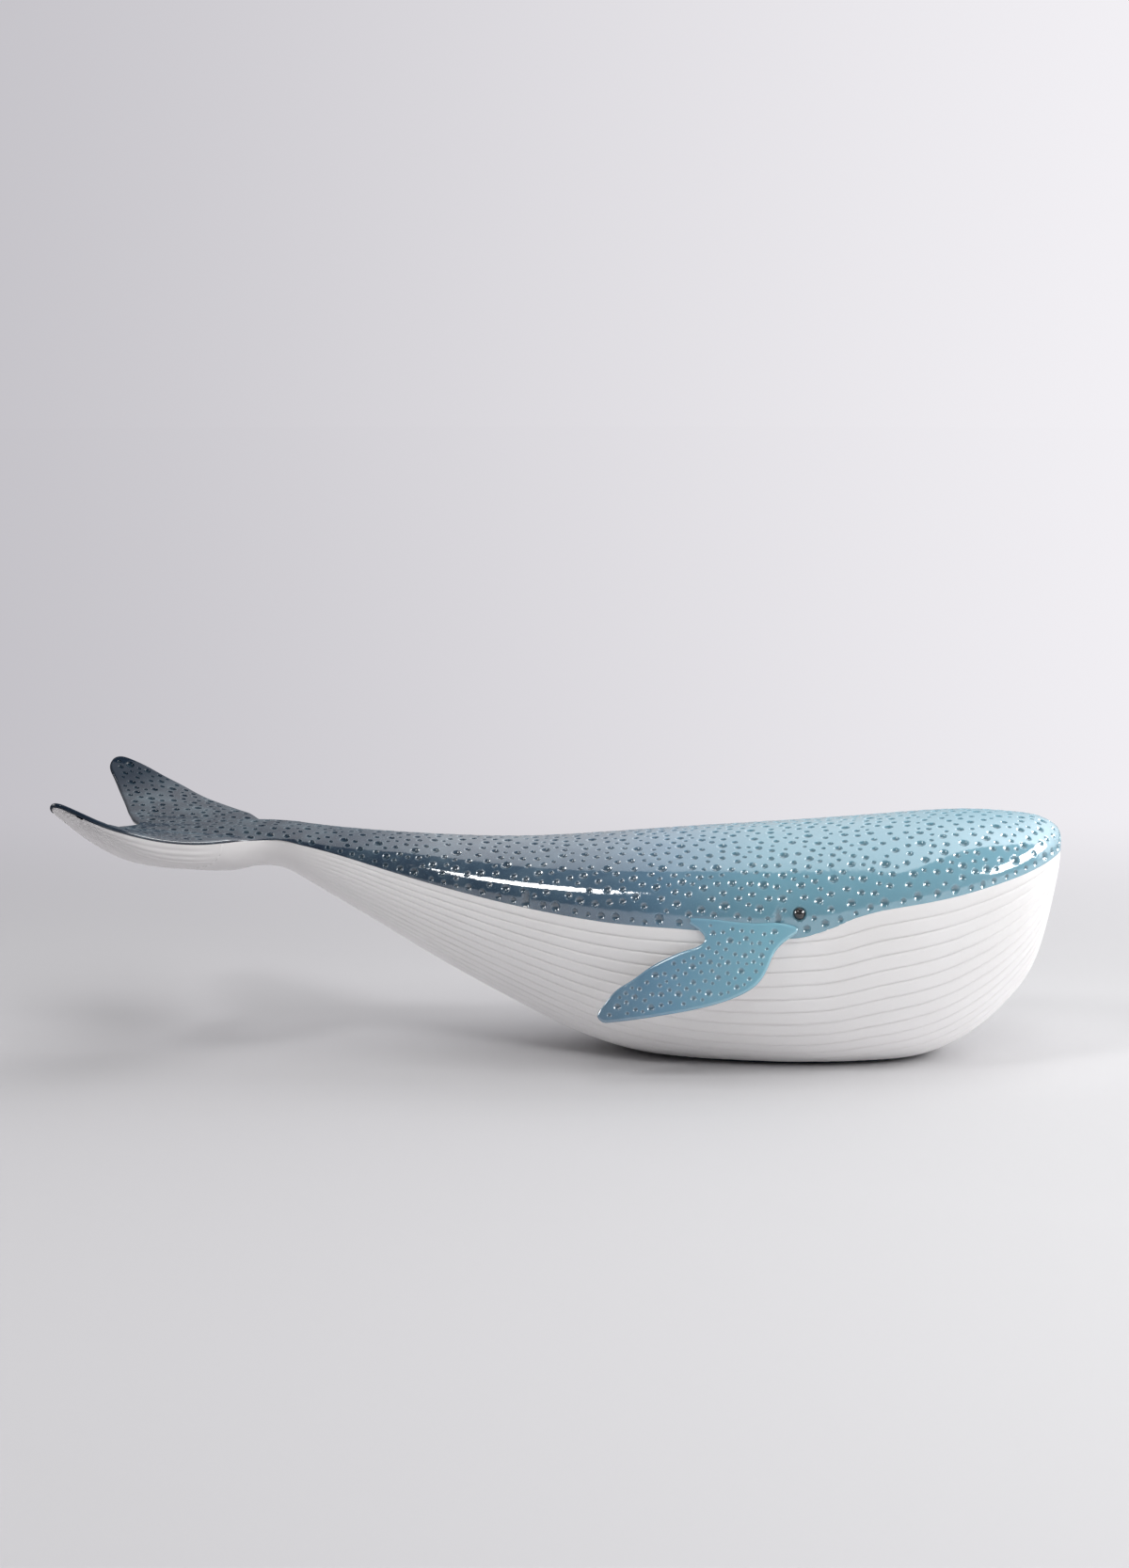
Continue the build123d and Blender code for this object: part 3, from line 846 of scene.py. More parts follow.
eye_travel, eye_across = flank_place(eye_x, eye_height)
body_pits = [(eye_travel, -eye_across, eye_seat_radius), (eye_travel, eye_across, eye_seat_radius)]
row_dice = random.Random(7)
for side in (-1, 1):
    row_travel = 4.0
    while row_travel < travel_end - 16:
        radius = row_dice.choice(row_pit_radii)
        radius *= narrow_pit_share if row_travel < narrow_travel else 1.0
        off_edge = pit_foot * radius + row_dice.uniform(0.3, 1.0)
        across = float(edge_across(np.array([row_travel]))[0]) - off_edge
        if abs(row_travel - eye_travel) > 8 or abs(across - eye_across) > 7:
            body_pits.append((row_travel, side * across, radius))
        row_travel += 2 * pit_foot * radius + row_dice.uniform(1.4, 4.2)


stock_pit_share, full_pit_gain = 0.80, 0.20
stock_x, stock_fade = -215, 90


def body_scale(x):
    """Hollows are full size on the body and smaller on the narrow tail stock."""
    return stock_pit_share + full_pit_gain * soft_step((x - stock_x) / stock_fade)


half_turns = np.linspace(0, math.pi, 7)[1:]


def glazed_skin(name, flatten, edge_line, chain, pits, fill_step):
    """Punched skin of the back or the flukes, with its edge rolled under."""
    corners, directions, hollow, faces = punched_skin(
        back_point, back_normal, flatten, edge_line, pits, fill_step
    )
    radii = glaze_edge + (rim_radius - glaze_edge) * join_share(corners[chain, 0])
    extra, extra_directions, quads = rolled_edge(corners, directions, chain, radii, half_turns, 0)
    return shaped_mesh(
        name,
        np.concatenate([corners, extra]),
        [*faces, *quads],
        np.concatenate([directions, extra_directions]),
        {"hollow": np.concatenate([hollow, np.zeros(len(extra))])},
    )


skin_corners = ((0, -110), (travel_end, 110))
body_pits = scattered_pits(
    back_point, unrolled, skin_corners, body_edge, body_pits, body_scale, seed=11, tries=36000
)
body_skin = glazed_skin("glazed_back", unrolled, body_edge, body_chain, body_pits, 2.8)

# Share of the length from the fluke tips, and the glaze's own colour there
glaze_run_start = 0.337
glaze_run_length = 0.4774
pooled_glaze = (0.010, 0.030, 0.045, 1)
thin_glaze = (0.36, 0.52, 0.60, 1)
# Heights over which the fluke tips are painted darker, as painted shade, and made dull.
tip_low, tip_high = 0.113, 0.124
tail_end, tail_start = -0.21, -0.15
thin_share, tip_painted_shade_loss = 0.4, 0.34
cloud_share, speckle_share, pooled_share, lip_pale_and_highlight_share = 0.30, 0.25, 0.50, 0.55
dull_tail_share, dull_pit_share = 0.55, 0.88
glaze_run_shares = [
    (0.00, (0.008, 0.016, 0.030, 1)),
    (0.24, (0.011, 0.021, 0.040, 1)),
    (0.42, (0.022, 0.053, 0.092, 1)),
    (0.54, (0.054, 0.108, 0.168, 1)),
    (0.60, (0.090, 0.190, 0.280, 1)),
    (0.70, (0.135, 0.310, 0.395, 1)),
    (0.92, (0.175, 0.370, 0.460, 1)),
]


def glaze_over(name, run):
    """Glossy glaze: it pools dark in the hollows and is pale over their lips, partly as glaze breaking thin
    and partly as painted highlight.
    """
    glaze = Paint(bpy.data.materials.new(name))
    place = glaze.place()
    along, _, height = glaze.parts(place)
    run_share = (along + glaze_run_start) / glaze_run_length
    colour = glaze.node("ShaderNodeValToRGB", {"stops": run}, {"Fac": run_share})
    cloud = glaze.noise(place, 60.0, 4.0)
    speckle = glaze.noise(place, 1500.0, 2.0)
    hollow = glaze.node("ShaderNodeAttribute", {"attribute_name": "hollow"}, (), 2)
    # Painted shade: at the fluke tips the pale of the glaze is taken away, so they read darker.
    tip = glaze.ease(height, tip_low, tip_high)
    pale = glaze.blend(thin_share - tip_painted_shade_loss * tip, colour, thin_glaze)
    colour = glaze.blend(glaze.ease(cloud, 0.40, 0.75) * cloud_share, colour, pale)
    colour = glaze.blend(glaze.ease(speckle, 0.50, 0.80) * speckle_share, colour, pale)
    colour = glaze.blend(glaze.ease(hollow, 0.10, 0.9) * pooled_share, colour, pooled_glaze)
    # Pale over the lips: partly the glaze breaking thin, partly a painted highlight on the rims.
    colour = glaze.blend(glaze.ease(0 - hollow, 0.01, 0.10) * lip_pale_and_highlight_share, colour, pale)
    bump = glaze.bump(glaze.noise(place, 430.0, 2.0), 1.0, 0.00004)
    glaze.give("Principled BSDF", Base_Color=colour, Roughness=0.05 + 0.03 * speckle, IOR=2.05, Normal=bump)
    glossy = Wire(glaze, glaze.tree.nodes["Principled BSDF"].outputs[0])
    still = {"Base Color": colour, "Roughness": 0.6, "Specular IOR Level": 0.0}
    dull = glaze.node("ShaderNodeBsdfPrincipled", (), still)
    on_tail = 1 - glaze.ease(along, tail_end, tail_start)
    pit = glaze.ease(hollow, 0.10, 0.55) * on_tail
    dull_share = dull_tail_share * on_tail
    dull_share = dull_share + glaze.sum_of("MAXIMUM", tip, pit) * (dull_pit_share - dull_share)
    surface = glaze.node("ShaderNodeMixShader", (), {0: dull_share, 1: glossy, 2: dull})
    glaze.tree.links.new(surface.socket, glaze.tree.nodes["Material Output"].inputs[0])
    return glaze.owner


glaze = glaze_over("steel_blue_glaze", glaze_run_shares)
body_skin.data.materials.append(glaze)
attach(body_skin, "root")
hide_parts("back_shell")

# Glazed fluke top: the thin upper casting of the tail, with smaller hollows and a
# rounded rim of thick glaze, luted to the back across the narrow tail stock.
front_line = fluke_front[fluke_front[:, 0] < join_rear]
join_travel = np.arange(join_rear - tail_x, 0, 0.5)
near_side = np.concatenate(
    [
        np.column_stack([fluke_rear[:, 0] - tail_x, fluke_rear[:, 1]]),
        np.column_stack([front_line[:, 0] - tail_x, front_line[:, 1]]),
        np.column_stack([join_travel, edge_across(join_travel)]),
        [[0.0, joint_width]],
    ]
)
near_side = np.concatenate([[[near_side[0, 0], 0.0]], near_side])
near_side = even_line(near_side, edge_step, plan)
smoothing_passes = 6
for k in range(smoothing_passes):
    near_side[1:-1] = near_side[1:-1] / 2 + near_side[:-2] / 4 + near_side[2:] / 4
fluke_chain_line = np.concatenate([near_side[::-1], (near_side * [1, -1])[1:]])
fluke_edge = np.concatenate([fluke_chain_line, joint_edge])
fluke_chain = np.arange(len(fluke_chain_line))


fluke_pit_share, trailing_pit_loss = 0.94, 0.06
trailing_x, trailing_fade = -262, 50


def fluke_scale(x):
    """Hollows shrink towards the trailing edge."""
    return fluke_pit_share - trailing_pit_loss * soft_step((trailing_x - x) / trailing_fade)


wing_corners = ((-100, -fluke_half_span), (0, fluke_half_span))
fluke_pits = scattered_pits(
    back_point, plan, wing_corners, fluke_edge, [], fluke_scale, seed=23, tries=16000
)
fluke_skin = glazed_skin("glazed_flukes", plan, fluke_edge, fluke_chain, fluke_pits, 2.4)
fluke_skin.data.materials.append(glaze)
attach(fluke_skin, "root")
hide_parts("fluke_upper_shell")

# Belly: the lower casting in bare white clay, cut by hand with long pleats that run
# from the throat to the tail stock, and flat where it sits on its pad.
pleat_count = 17
pleat_pitch = 7.0
pad_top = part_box("base_pad")[1].z / mm
bisque_inset = 0.2
cover_start, cover_fade, cover_depth = 0.3, 1.2, 2.6
edge_fold_share, edge_fold_width = 0.16, 3.0
pleat_fade_start, pleat_fade_length = 4, 42
narrow_pleat_power = 0.6
flat_margin = 0.3
nose_travel, nose_hole = 300, 0.35
pleat_column_shares = [0.0, 0.06, 0.13, 0.30, 0.50, 0.70, 0.87, 0.94]

# The line that the pleats follow is the border without its dip beside the fin
pleat_line_shares = [row for row in border_shares if row[0] < 0.5 or row[0] > 0.74]
pleat_line_shares += [(0.523, 0.606), (0.602, 0.610), (0.662, 0.624), (0.710, 0.645)]
pleat_lines = np.array(sorted(pleat_line_shares))
pleat_curve = spline_through(tail_x + pleat_lines[:, 0] * (nose_x - tail_x), pleat_lines[:, 1] * back_height)


def pleat_start(travel):
    """Distance from the crown to the line that the pleats follow."""
    found = np.zeros(len(travel))
    for k, row in enumerate(body_curve(travel)):
        heights, lengths = half_section(row)
        found[k] = np.interp(-pleat_curve(row[0])[0, 0], -heights, lengths)
    return found


def grid_faces(rows, columns):
    """Quads of a grid whose corners are numbered row by row."""
    first = (np.arange(rows - 1)[:, None] * columns + np.arange(columns - 1)).ravel()
    return np.column_stack([first, first + 1, first + columns + 1, first + columns])


bare_rear, bare_front = fluke_edges(0.4)
bare_drop = 1.9
bare_fullness = 2.6
thin_rear_share = 0.78
thin_rear_power = 1.7


def bare_edges(y):
    """Where the bare underside of a fluke starts and ends along the body, at a span."""
    leading = np.interp(np.abs(y), bare_front[::-1, 1], bare_front[::-1, 0])
    trailing = np.interp(np.abs(y), bare_rear[:, 1], bare_rear[:, 0])
    return leading, trailing


def underside_height(x, y):
    """Height of the bare underside: full behind its leading edge, thin at the trailing."""
    depth = rib_curve(y)[:, 4]
    leading, trailing = bare_edges(y)
    along = np.clip((2 * x - leading - trailing) / np.maximum(leading - trailing, 0.01), -1, 1)
    sag = (1 - np.abs(along) ** bare_fullness) ** (1 / bare_fullness)
    sag = np.where(along < 0, sag * (1 - thin_rear_share * np.abs(along) ** thin_rear_power), sag)
    return fluke_top(x, y) - bare_drop - np.maximum(depth - bare_drop, 0) * sag


def underside_section(x, shares):
    """Half section of the fluke underside at a place, from its edge to the middle."""
    edge = np.interp(x, bare_front[:, 0], bare_front[:, 1])
    y = edge * (1 - np.linspace(0, 1, 400) ** 2)
    z = underside_height(np.full(len(y), x), y)
    run = run_round(y, z)
    return np.interp(shares * run[-1], run, y), np.interp(shares * run[-1], run, z)


def lower_rows(travel, columns):
    """Rows of one side of the bare clay, from under the glaze to the keel, fluke first."""
    starts = pleat_start(np.maximum(travel, 0))
    girths = girth_at(travel)
    edges = edge_across(travel)
    rows = []
    hidden = []
    for along, start, girth, edge in zip(travel, starts, girths, edges):
        across = start + columns / pleat_count * (girth - start)
        row = body_point(np.full(len(columns), along), np.clip(across, 0, girth))
        cover = np.clip((edge - across - cover_start) / cover_fade, 0, 1)
        fade = soft_step((row[:, 0] - edge_turn_start) / edge_turn_fade)
        cover += edge_fold_share * np.clip(1 - np.abs(across - edge) / edge_fold_width, 0, 1) ** 2 * fade
        row[:, 0] = x = tail_x + along if along < 0 else row[0, 0]
        if x < join_front:
            share = join_share(np.array([x]))[0]
            y, z = underside_section(x, np.clip(columns, 0, pleat_count) / pleat_count)
            row[:, 1] = row[:, 1] * (1 - share) + y * share
            row[:, 2] = row[:, 2] * (1 - share) + z * share
            cover = cover * (1 - share)
        rows.append(row)
        hidden.append(cover)
    return np.array(rows), np.array(hidden)


def both_sides(rows, mirror):
    """Rows of one side and their mirror images, joined along the keel."""
    return np.concatenate([rows * mirror, rows[:, -2::-1]], axis=1)


pleat_columns = [k + share for k in range(pleat_count) for share in pleat_column_shares]
pleat_columns = np.array([-0.25, -0.1, *pleat_columns, pleat_count])
tail_travel = np.linspace(join_rear - tail_x, 0, 25)
flank_travel = np.linspace(0, nose_travel, 210)
throat_travel = np.linspace(nose_travel, travel_end - nose_hole, 95)
belly_travel = np.concatenate([flank_travel, throat_travel[1:]])
clay_travel = np.concatenate([tail_travel[:-1], belly_travel])
clay_rows, cover = lower_rows(clay_travel, pleat_columns)
clay_rows = both_sides(clay_rows, [1, -1, 1])
cover = both_sides(cover, 1)
clay_out = np.cross(np.gradient(clay_rows, axis=1), np.gradient(clay_rows, axis=0))
clay_out /= np.maximum(np.linalg.norm(clay_out, axis=2, keepdims=True), 1e-9)
clay_x = clay_rows[:, 0, 0]
inset = (bisque_inset + cover_depth * cover) * (1 - join_share(clay_x))[:, None]
clay_rows = clay_rows - clay_out * inset[..., None]
clay_rows[..., 2] = np.maximum(clay_rows[..., 2], pad_top)
tail_rows = clay_rows[: len(tail_travel)]
belly_rows = clay_rows[len(tail_travel) - 1 :]
row_count, column_count = belly_rows.shape[:2]
starts = pleat_start(belly_travel)
pitches = (girth_at(belly_travel) - starts) / pleat_count
strip = np.concatenate([pleat_columns, pleat_columns[-2::-1]])
groove_gap = np.abs(strip - np.round(strip))[None] * pitches[:, None]
groove_gap = np.where(np.round(strip)[None] < 0.5, pleat_pitch, groove_gap)
groove_ease = soft_step((belly_travel - pleat_fade_start) / pleat_fade_length)[:, None]
groove_ease = groove_ease * np.ones(column_count)
groove_ease = groove_ease * np.minimum(1, pitches[:, None] / pleat_pitch) ** narrow_pleat_power
groove_ease[belly_rows[..., 2] < pad_top + flat_margin] = 0
belly_base = shaped_mesh(
    "belly_clay",
    belly_rows.reshape(-1, 3),
    grid_faces(row_count, column_count),
    None,
    {
        "groove_gap": groove_gap.ravel() * mm,
        "pleat_width": (pitches[:, None] * np.ones(column_count)).ravel() * mm,
        "groove_ease": groove_ease.ravel(),
    },
)


class Shaper(Paint):
    """A geometry tree under construction, with named inputs and the same way of adding."""

    def __init__(self, name, sizes):
        self.tree = bpy.data.node_groups.new(name, "GeometryNodeTree")
        sockets = self.tree.interface
        sockets.new_socket("Geometry", in_out="INPUT", socket_type="NodeSocketGeometry")
        for key, value in sizes.items():
            sockets.new_socket(key, in_out="INPUT", socket_type="NodeSocketFloat").default_value = value
        sockets.new_socket("Clay", in_out="INPUT", socket_type="NodeSocketMaterial")
        sockets.new_socket("Geometry", in_out="OUTPUT", socket_type="NodeSocketGeometry")
        self.start = self.tree.nodes.new("NodeGroupInput")
        self.end = self.tree.nodes.new("NodeGroupOutput")

    def given(self, name):
        """A size that the tree is given."""
        return Wire(self, self.start.outputs[name])


def pleat_shaper():
    """Tree that cuts V grooves and leaves the strips between them slightly pillowed."""
    sizes = {"Groove Depth": 0.6 * mm, "Groove Width": 0.5 * mm, "Pillow": 0.12 * mm}
    cutter = Shaper("pleat_cutter", sizes)
    fields = {}
    for key in ("groove_gap", "pleat_width", "groove_ease"):
        settings = {"data_type": "FLOAT"}
        fields[key] = cutter.node("GeometryNodeInputNamedAttribute", settings, {"Name": key})
    side = 1 - cutter.sum_of("MINIMUM", fields["groove_gap"] / cutter.given("Groove Width"), 1.0)
    groove = cutter.given("Groove Depth") * side
    from_middle = 1 - cutter.sum_of("MINIMUM", 2 * fields["groove_gap"] / fields["pleat_width"], 1.0)
    pillow = cutter.given("Pillow") * from_middle**3
    depth = (groove + pillow) * fields["groove_ease"]
    outward = cutter.node("GeometryNodeInputNormal")
    scale = {0: outward, 3: 0 - depth}
    offset = cutter.node("ShaderNodeVectorMath", {"operation": "SCALE"}, scale)
    uncut = cutter.given("Geometry")
    moved = cutter.node("GeometryNodeSetPosition", (), {"Geometry": uncut, "Offset": offset})
    real = cutter.node("GeometryNodeRealizeInstances", (), {0: moved})
    clay = cutter.given("Clay")
    painted = cutter.node("GeometryNodeSetMaterial", (), {"Geometry": real, "Material": clay})
    cutter.tree.links.new(painted.socket, cutter.end.inputs[0])
    return cutter.tree


def cut_with(tree, source, name, clay, sizes=()):
    """The source mesh with the tree's cuts as a plain mesh of its own."""
    modifier = source.modifiers.new("pleats", "NODES")
    modifier.node_group = tree
    for item in tree.interface.items_tree:
        if item.in_out == "INPUT" and item.name in dict(sizes):
            modifier[item.identifier] = dict(sizes)[item.name]
        if item.in_out == "INPUT" and item.name == "Clay":
            modifier[item.identifier] = clay
    graph = bpy.context.evaluated_depsgraph_get()
    mesh = bpy.data.meshes.new_from_object(source.evaluated_get(graph))
    mesh.name = name
    bpy.data.objects.remove(source)
    mesh.shade_smooth()
    return placed(name, mesh)


bisque = Paint(bpy.data.materials.new("white_bisque"))
clay_place = bisque.place()
grain = bisque.noise(clay_place, 1600.0, 3.0)
drift = bisque.noise(clay_place, 22.0, 3.0)
warm_clay, pale_clay = (0.80, 0.785, 0.775, 1), (0.86, 0.85, 0.85, 1)
tail_clay_shade, grain_clay = (0.56, 0.545, 0.545, 1), (0.62, 0.60, 0.58, 1)
clay_colour = bisque.blend(drift, warm_clay, pale_clay)
# Painted shade: the bare clay under the flukes is painted darker towards the tail.
tail_shade_share = bisque.ease(0 - bisque.parts(clay_place)[0], 0.17, 0.27)
clay_colour = bisque.blend(tail_shade_share * 0.8, clay_colour, tail_clay_shade)
clay_colour = bisque.blend(bisque.ease(grain, 0.62, 0.80) * 0.25, clay_colour, grain_clay)
clay_bump = bisque.bump(grain, 0.25, 0.00008)
bisque.give(
    "Principled BSDF",
    Base_Color=clay_colour,
    Roughness=0.55 + 0.2 * drift,
    Specular_IOR_Level=0.35,
    Normal=clay_bump,
)
pleat_tree = pleat_shaper()
belly = cut_with(pleat_tree, belly_base, "pleated_belly", bisque.owner)
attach(belly, "root")
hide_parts("belly_shell")

# Fluke underside: the hollow lower casting of the tail in bare clay, luted to the belly
# behind the tail stock, with a few soft pleats along its leading edge.
tail_corners = tail_rows.reshape(-1, 3)
tail_faces = grid_faces(*tail_rows.shape[:2])
chord_steps = 110
span_steps = 70
tip_gap = 0.05
soft_pitch = 3.1
soft_count = 7
soft_inner_span, soft_span_fade = 18, 22
soft_end_fade, soft_join_fade = 1.5, 14
inner_row = tail_rows[0, 2:-2]
outer_spans = np.linspace(inner_row[-1, 1], bare_rear[-1, 1] - tip_gap, span_steps)[1:]
spans = np.concatenate([-outer_spans[::-1], inner_row[:, 1], outer_spans])
front_edge_x, rear_edge_x = bare_edges(spans)
start_x = np.minimum(front_edge_x, join_rear)
fine_shares = (1 - np.cos(np.linspace(0, math.pi, 361))) / 2
fine_x = start_x[:, None] + (rear_edge_x - start_x)[:, None] * fine_shares[None]
fine_y = spans[:, None] * np.ones(len(fine_shares))
fine_z = underside_height(fine_x.ravel(), fine_y.ravel()).reshape(fine_x.shape)
fine_steps = np.hypot(np.diff(fine_x, prepend=fine_x[:, :1]), np.diff(fine_z, prepend=fine_z[:, :1]))
fine_run = np.cumsum(fine_steps, axis=1)
drop = fine_run[:, -1:] * np.linspace(0, 1, chord_steps + 1)
fluke_x = np.array([np.interp(*rows) for rows in zip(drop, fine_run, fine_x)])
fluke_y = spans[:, None] * np.ones(chord_steps + 1)
fluke_z = np.array([np.interp(*rows) for rows in zip(drop, fine_run, fine_z)])
inner_spans = slice(len(outer_spans), len(outer_spans) + len(inner_row))
fluke_x[inner_spans, 0] = inner_row[:, 0]
fluke_z[inner_spans, 0] = inner_row[:, 2]
wing_rows = np.stack([fluke_x, fluke_y, fluke_z], axis=2)
wing_faces = grid_faces(*fluke_x.shape)
drop += np.maximum(front_edge_x - start_x, 0)[:, None]
soft_strip = drop / soft_pitch
soft_gap = np.abs(soft_strip - np.round(soft_strip)) * soft_pitch
soft_ease = soft_step((soft_count + 0.6 - soft_strip) / soft_end_fade)
soft_ease = soft_ease * soft_step((np.abs(fluke_y) - soft_inner_span) / soft_span_fade)
soft_ease *= (np.round(soft_strip) > 0.5) * soft_step((join_rear - fluke_x) / soft_join_fade)
tail_count = len(tail_corners)
fluke_base = shaped_mesh(
    "fluke_clay",
    np.concatenate([tail_corners, wing_rows.reshape(-1, 3)]),
    [*tail_faces, *(wing_faces + tail_count)],
    None,
    {
        "groove_gap": np.concatenate([np.full(tail_count, pleat_pitch), soft_gap.ravel()]) * mm,
        "pleat_width": np.full(tail_count + soft_gap.size, soft_pitch) * mm,
        "groove_ease": np.concatenate([np.zeros(tail_count), soft_ease.ravel()]),
    },
)
joined = bmesh.new()
joined.from_mesh(fluke_base.data)
bmesh.ops.remove_doubles(joined, verts=joined.verts, dist=0.02 * mm)
joined.to_mesh(fluke_base.data)
joined.free()
fluke_belly = cut_with(
    pleat_tree,
    fluke_base,
    "fluke_underside",
    bisque.owner,
    {"Groove Depth": 0.32 * mm, "Groove Width": 1.3 * mm, "Pillow": 0.15 * mm},
)
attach(fluke_belly, "root")
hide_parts("fluke_lower_shell")


seam_reach = 0.3
same_place = 0.05


def shade_across(first, second, seam_x):
    """Gives two pieces the same directions where they meet, so that no seam shows."""
    places, directions, seams = [], [], []
    for piece in (first, second):
        count = len(piece.data.vertices)
        spots = np.zeros(count * 3)
        leaning = np.zeros(count * 3)
        piece.data.vertices.foreach_get("co", spots)
        piece.data.vertex_normals.foreach_get("vector", leaning)
        places.append(spots.reshape(-1, 3) / mm)
        directions.append(leaning.reshape(-1, 3))
        seams.append(np.flatnonzero(np.abs(places[-1][:, 0] - seam_x) < seam_reach))
    gap, match = nearest(places[0][seams[0]], places[1][seams[1]])
    close = gap < same_place
    left, right = seams[0][close], seams[1][match[close]]
    shared = directions[0][left] + directions[1][right]
    shared /= np.linalg.norm(shared, axis=1, keepdims=True)
    directions[0][left] = shared
    directions[1][right] = shared
    for piece, leaning in zip((first, second), directions):
        piece.data.normals_split_custom_set_from_vertices(leaning.tolist())


shade_across(belly, fluke_belly, tail_x)

# Pectoral fins: leaf-shaped castings luted to the flank over the border. The outer face
# and the rounded edge are glazed and punched, and the inner side is bare clay.
fin_reach = 95.0
fin_drop = 50.0
fin_thickness = 4.5
fin_edge_radius = 1.5
fin_glaze_depth = 2.4
fin_lean = math.radians(14)
fin_root_height = 77.5
fin_front_x = 14.0
fin_stand_off = 1.6
fin_outline_step = 0.4
fin_edge_step = 0.8
fin_pit_share = 0.70
fin_top_shares = [(0.600, 0.010), (0.440, 0.012), (0.250, 0.038), (0.064, 0.046), (0.000, 0.090)]
fin_front_shares = [
    (0.000, 0.090),
    (0.085, 0.200),
    (0.136, 0.310),
    (0.168, 0.456),
    (0.222, 0.618),
    (0.290, 0.708),
    (0.362, 0.770),
    (0.506, 0.856),
    (0.695, 0.934),
    (0.880, 0.996),
    (0.968, 1.018),
]
fin_tip_shares = [(0.968, 1.018), (1.000, 0.968), (0.969, 0.842)]
fin_rear_shares = [
    (0.969, 0.842),
    (0.911, 0.706),
    (0.842, 0.616),
    (0.752, 0.486),
    (0.660, 0.386),
    (0.568, 0.310),
    (0.505, 0.262),
    (0.482, 0.210),
    (0.500, 0.140),
    (0.548, 0.080),
    (0.600, 0.010),
]


def flank_point(x, height):
    """Point of the right flank at a place and a height."""
    travel, across = flank_place(x, height)
    return body_point(np.array([travel]), np.array([-across]))[0]


root_front = flank_point(fin_front_x, fin_root_height)
root_rear = flank_point(fin_front_x - fin_reach * fin_top_shares[0][0], fin_root_height)
root_line = (root_rear - root_front) / np.linalg.norm(root_rear - root_front)
flank_out = np.cross([0, 0, 1], root_line)
fin_down = np.array([0, 0, -1]) * math.cos(fin_lean) + np.cross(root_line, [0, 0, -1]) * math.sin(fin_lean)
fin_out = np.cross(root_line, fin_down)
fin_origin = root_front + flank_out * fin_stand_off


def fin_point(along, down):
    """Point of the fin's outer face, from its front upper corner."""
    return fin_origin + np.outer(along, root_line) + np.outer(down, fin_down)


def fin_normal(along, down):
    """Outward direction of the fin, which is flat."""
    return np.tile(fin_out, (len(along), 1))


outline = []
for shares in (fin_top_shares, fin_front_shares, fin_tip_shares, fin_rear_shares):
    knots = np.array(shares) * [fin_reach, fin_drop]
    runs = run_along(knots)
    outline.append(spline_through(runs, knots)(np.arange(0, runs[-1], fin_outline_step)))
fin_outline = np.concatenate(outline)[::-1]
fin_outline = fin_outline if turned_area(fin_outline) > 0 else fin_outline[::-1]
fin_face_line = drawn_in(fin_outline, fin_edge_radius)
fin_face_line = even_line(np.concatenate([fin_face_line, fin_face_line[:1]]), fin_edge_step, plan)[:-1]


def fin_scale(x):
    """Hollows of the fin are all small."""
    return np.full(np.shape(x), fin_pit_share)


face_corners = ((0, 0), (fin_reach, 52))
fin_pits = scattered_pits(
    fin_point, plan, face_corners, fin_face_line, [], fin_scale, seed=31, tries=9000
)
corners, directions, hollow, faces = punched_skin(
    fin_point, fin_normal, plan, fin_face_line, fin_pits, 2.0
)
fin_chain = np.append(np.arange(len(fin_face_line)), 0)
quarter_turns = np.linspace(0, math.pi / 2, 6)[1:]
fin_radii = np.full(len(fin_chain), fin_edge_radius)
extra, extra_directions, quads = rolled_edge(
    corners, directions, fin_chain, fin_radii, quarter_turns, fin_glaze_depth - fin_edge_radius
)
fin_corners = np.concatenate([corners, extra])
fin_faces = [*faces, *quads]
fin_directions = np.concatenate([directions, extra_directions])
fin_hollow = np.concatenate([hollow, np.zeros(len(extra))])

# The bare side: a wall below the glaze, a rounded back edge and the flat inner face
wall_line = extra[-len(fin_chain) : -1]
wall_out = extra_directions[-len(fin_chain) : -1]
back_radius = 1.2
step_in = 0.05
bare_depth = fin_thickness - fin_glaze_depth
bare_rings = [(-step_in, 0.25), (-step_in, bare_depth - back_radius)]
for angle in np.linspace(0, math.pi / 2, 5)[1:]:
    turned_in = back_radius * (1 - math.cos(angle))
    bare_rings.append((-step_in - turned_in, bare_depth - back_radius * (1 - math.sin(angle))))
all_rings = [(-step_in, -0.3)] + bare_rings
bare_corners = np.concatenate([wall_line + wall_out * out - fin_out * depth for out, depth in all_rings])
ring_size = len(wall_line)
bare_faces = []
for ring in range(len(bare_rings)):
    for k in range(ring_size):
        after = (k + 1) % ring_size
        here, below = ring * ring_size, (ring + 1) * ring_size
        bare_faces.append((here + k, below + k, below + after, here + after))
bare_faces.append([len(bare_rings) * ring_size + k for k in reversed(range(ring_size))])
# Painted light: the fins' glaze is a lighter copy of the back's, standing in for the light the fins catch.
fin_painted_light_shares = (1.55, 1.5, 1.45)
fin_run_shares = []
for place, colour in glaze_run_shares:
    fin_run_shares.append((place, (*[level * share for level, share in zip(colour, fin_painted_light_shares)], 1)))
fin_coat = glaze_over("fin_glaze", fin_run_shares)


def faces_on(side, faces):
    """The faces as they are on the right side, and turned over for the mirror image."""
    return faces if side == 1 else [tuple(reversed(list(face))) for face in faces]


for side, name in ((1, "right"), (-1, "left")):
    mirror = np.array([1, side, 1])
    fin_glaze = shaped_mesh(
        name + "_fin_glaze",
        fin_corners * mirror,
        faces_on(side, fin_faces),
        fin_directions * mirror,
        {"hollow": fin_hollow},
    )
    fin_glaze.data.materials.append(fin_coat)
    fin_bare = shaped_mesh(name + "_fin_bare_side", bare_corners * mirror, faces_on(side, bare_faces))
    fin_bare.data.materials.append(bisque.owner)
    for piece, slot in ((fin_glaze, "blue_glaze"), (fin_bare, "white_bisque")):
        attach(piece, "root")
        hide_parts(name + "_pectoral_fin")

# Eyes: black glazed beads on short stems, pressed into round seats in the back.
eye_radius = 2.9
eye_sink = 1.1
eye_sides = 40


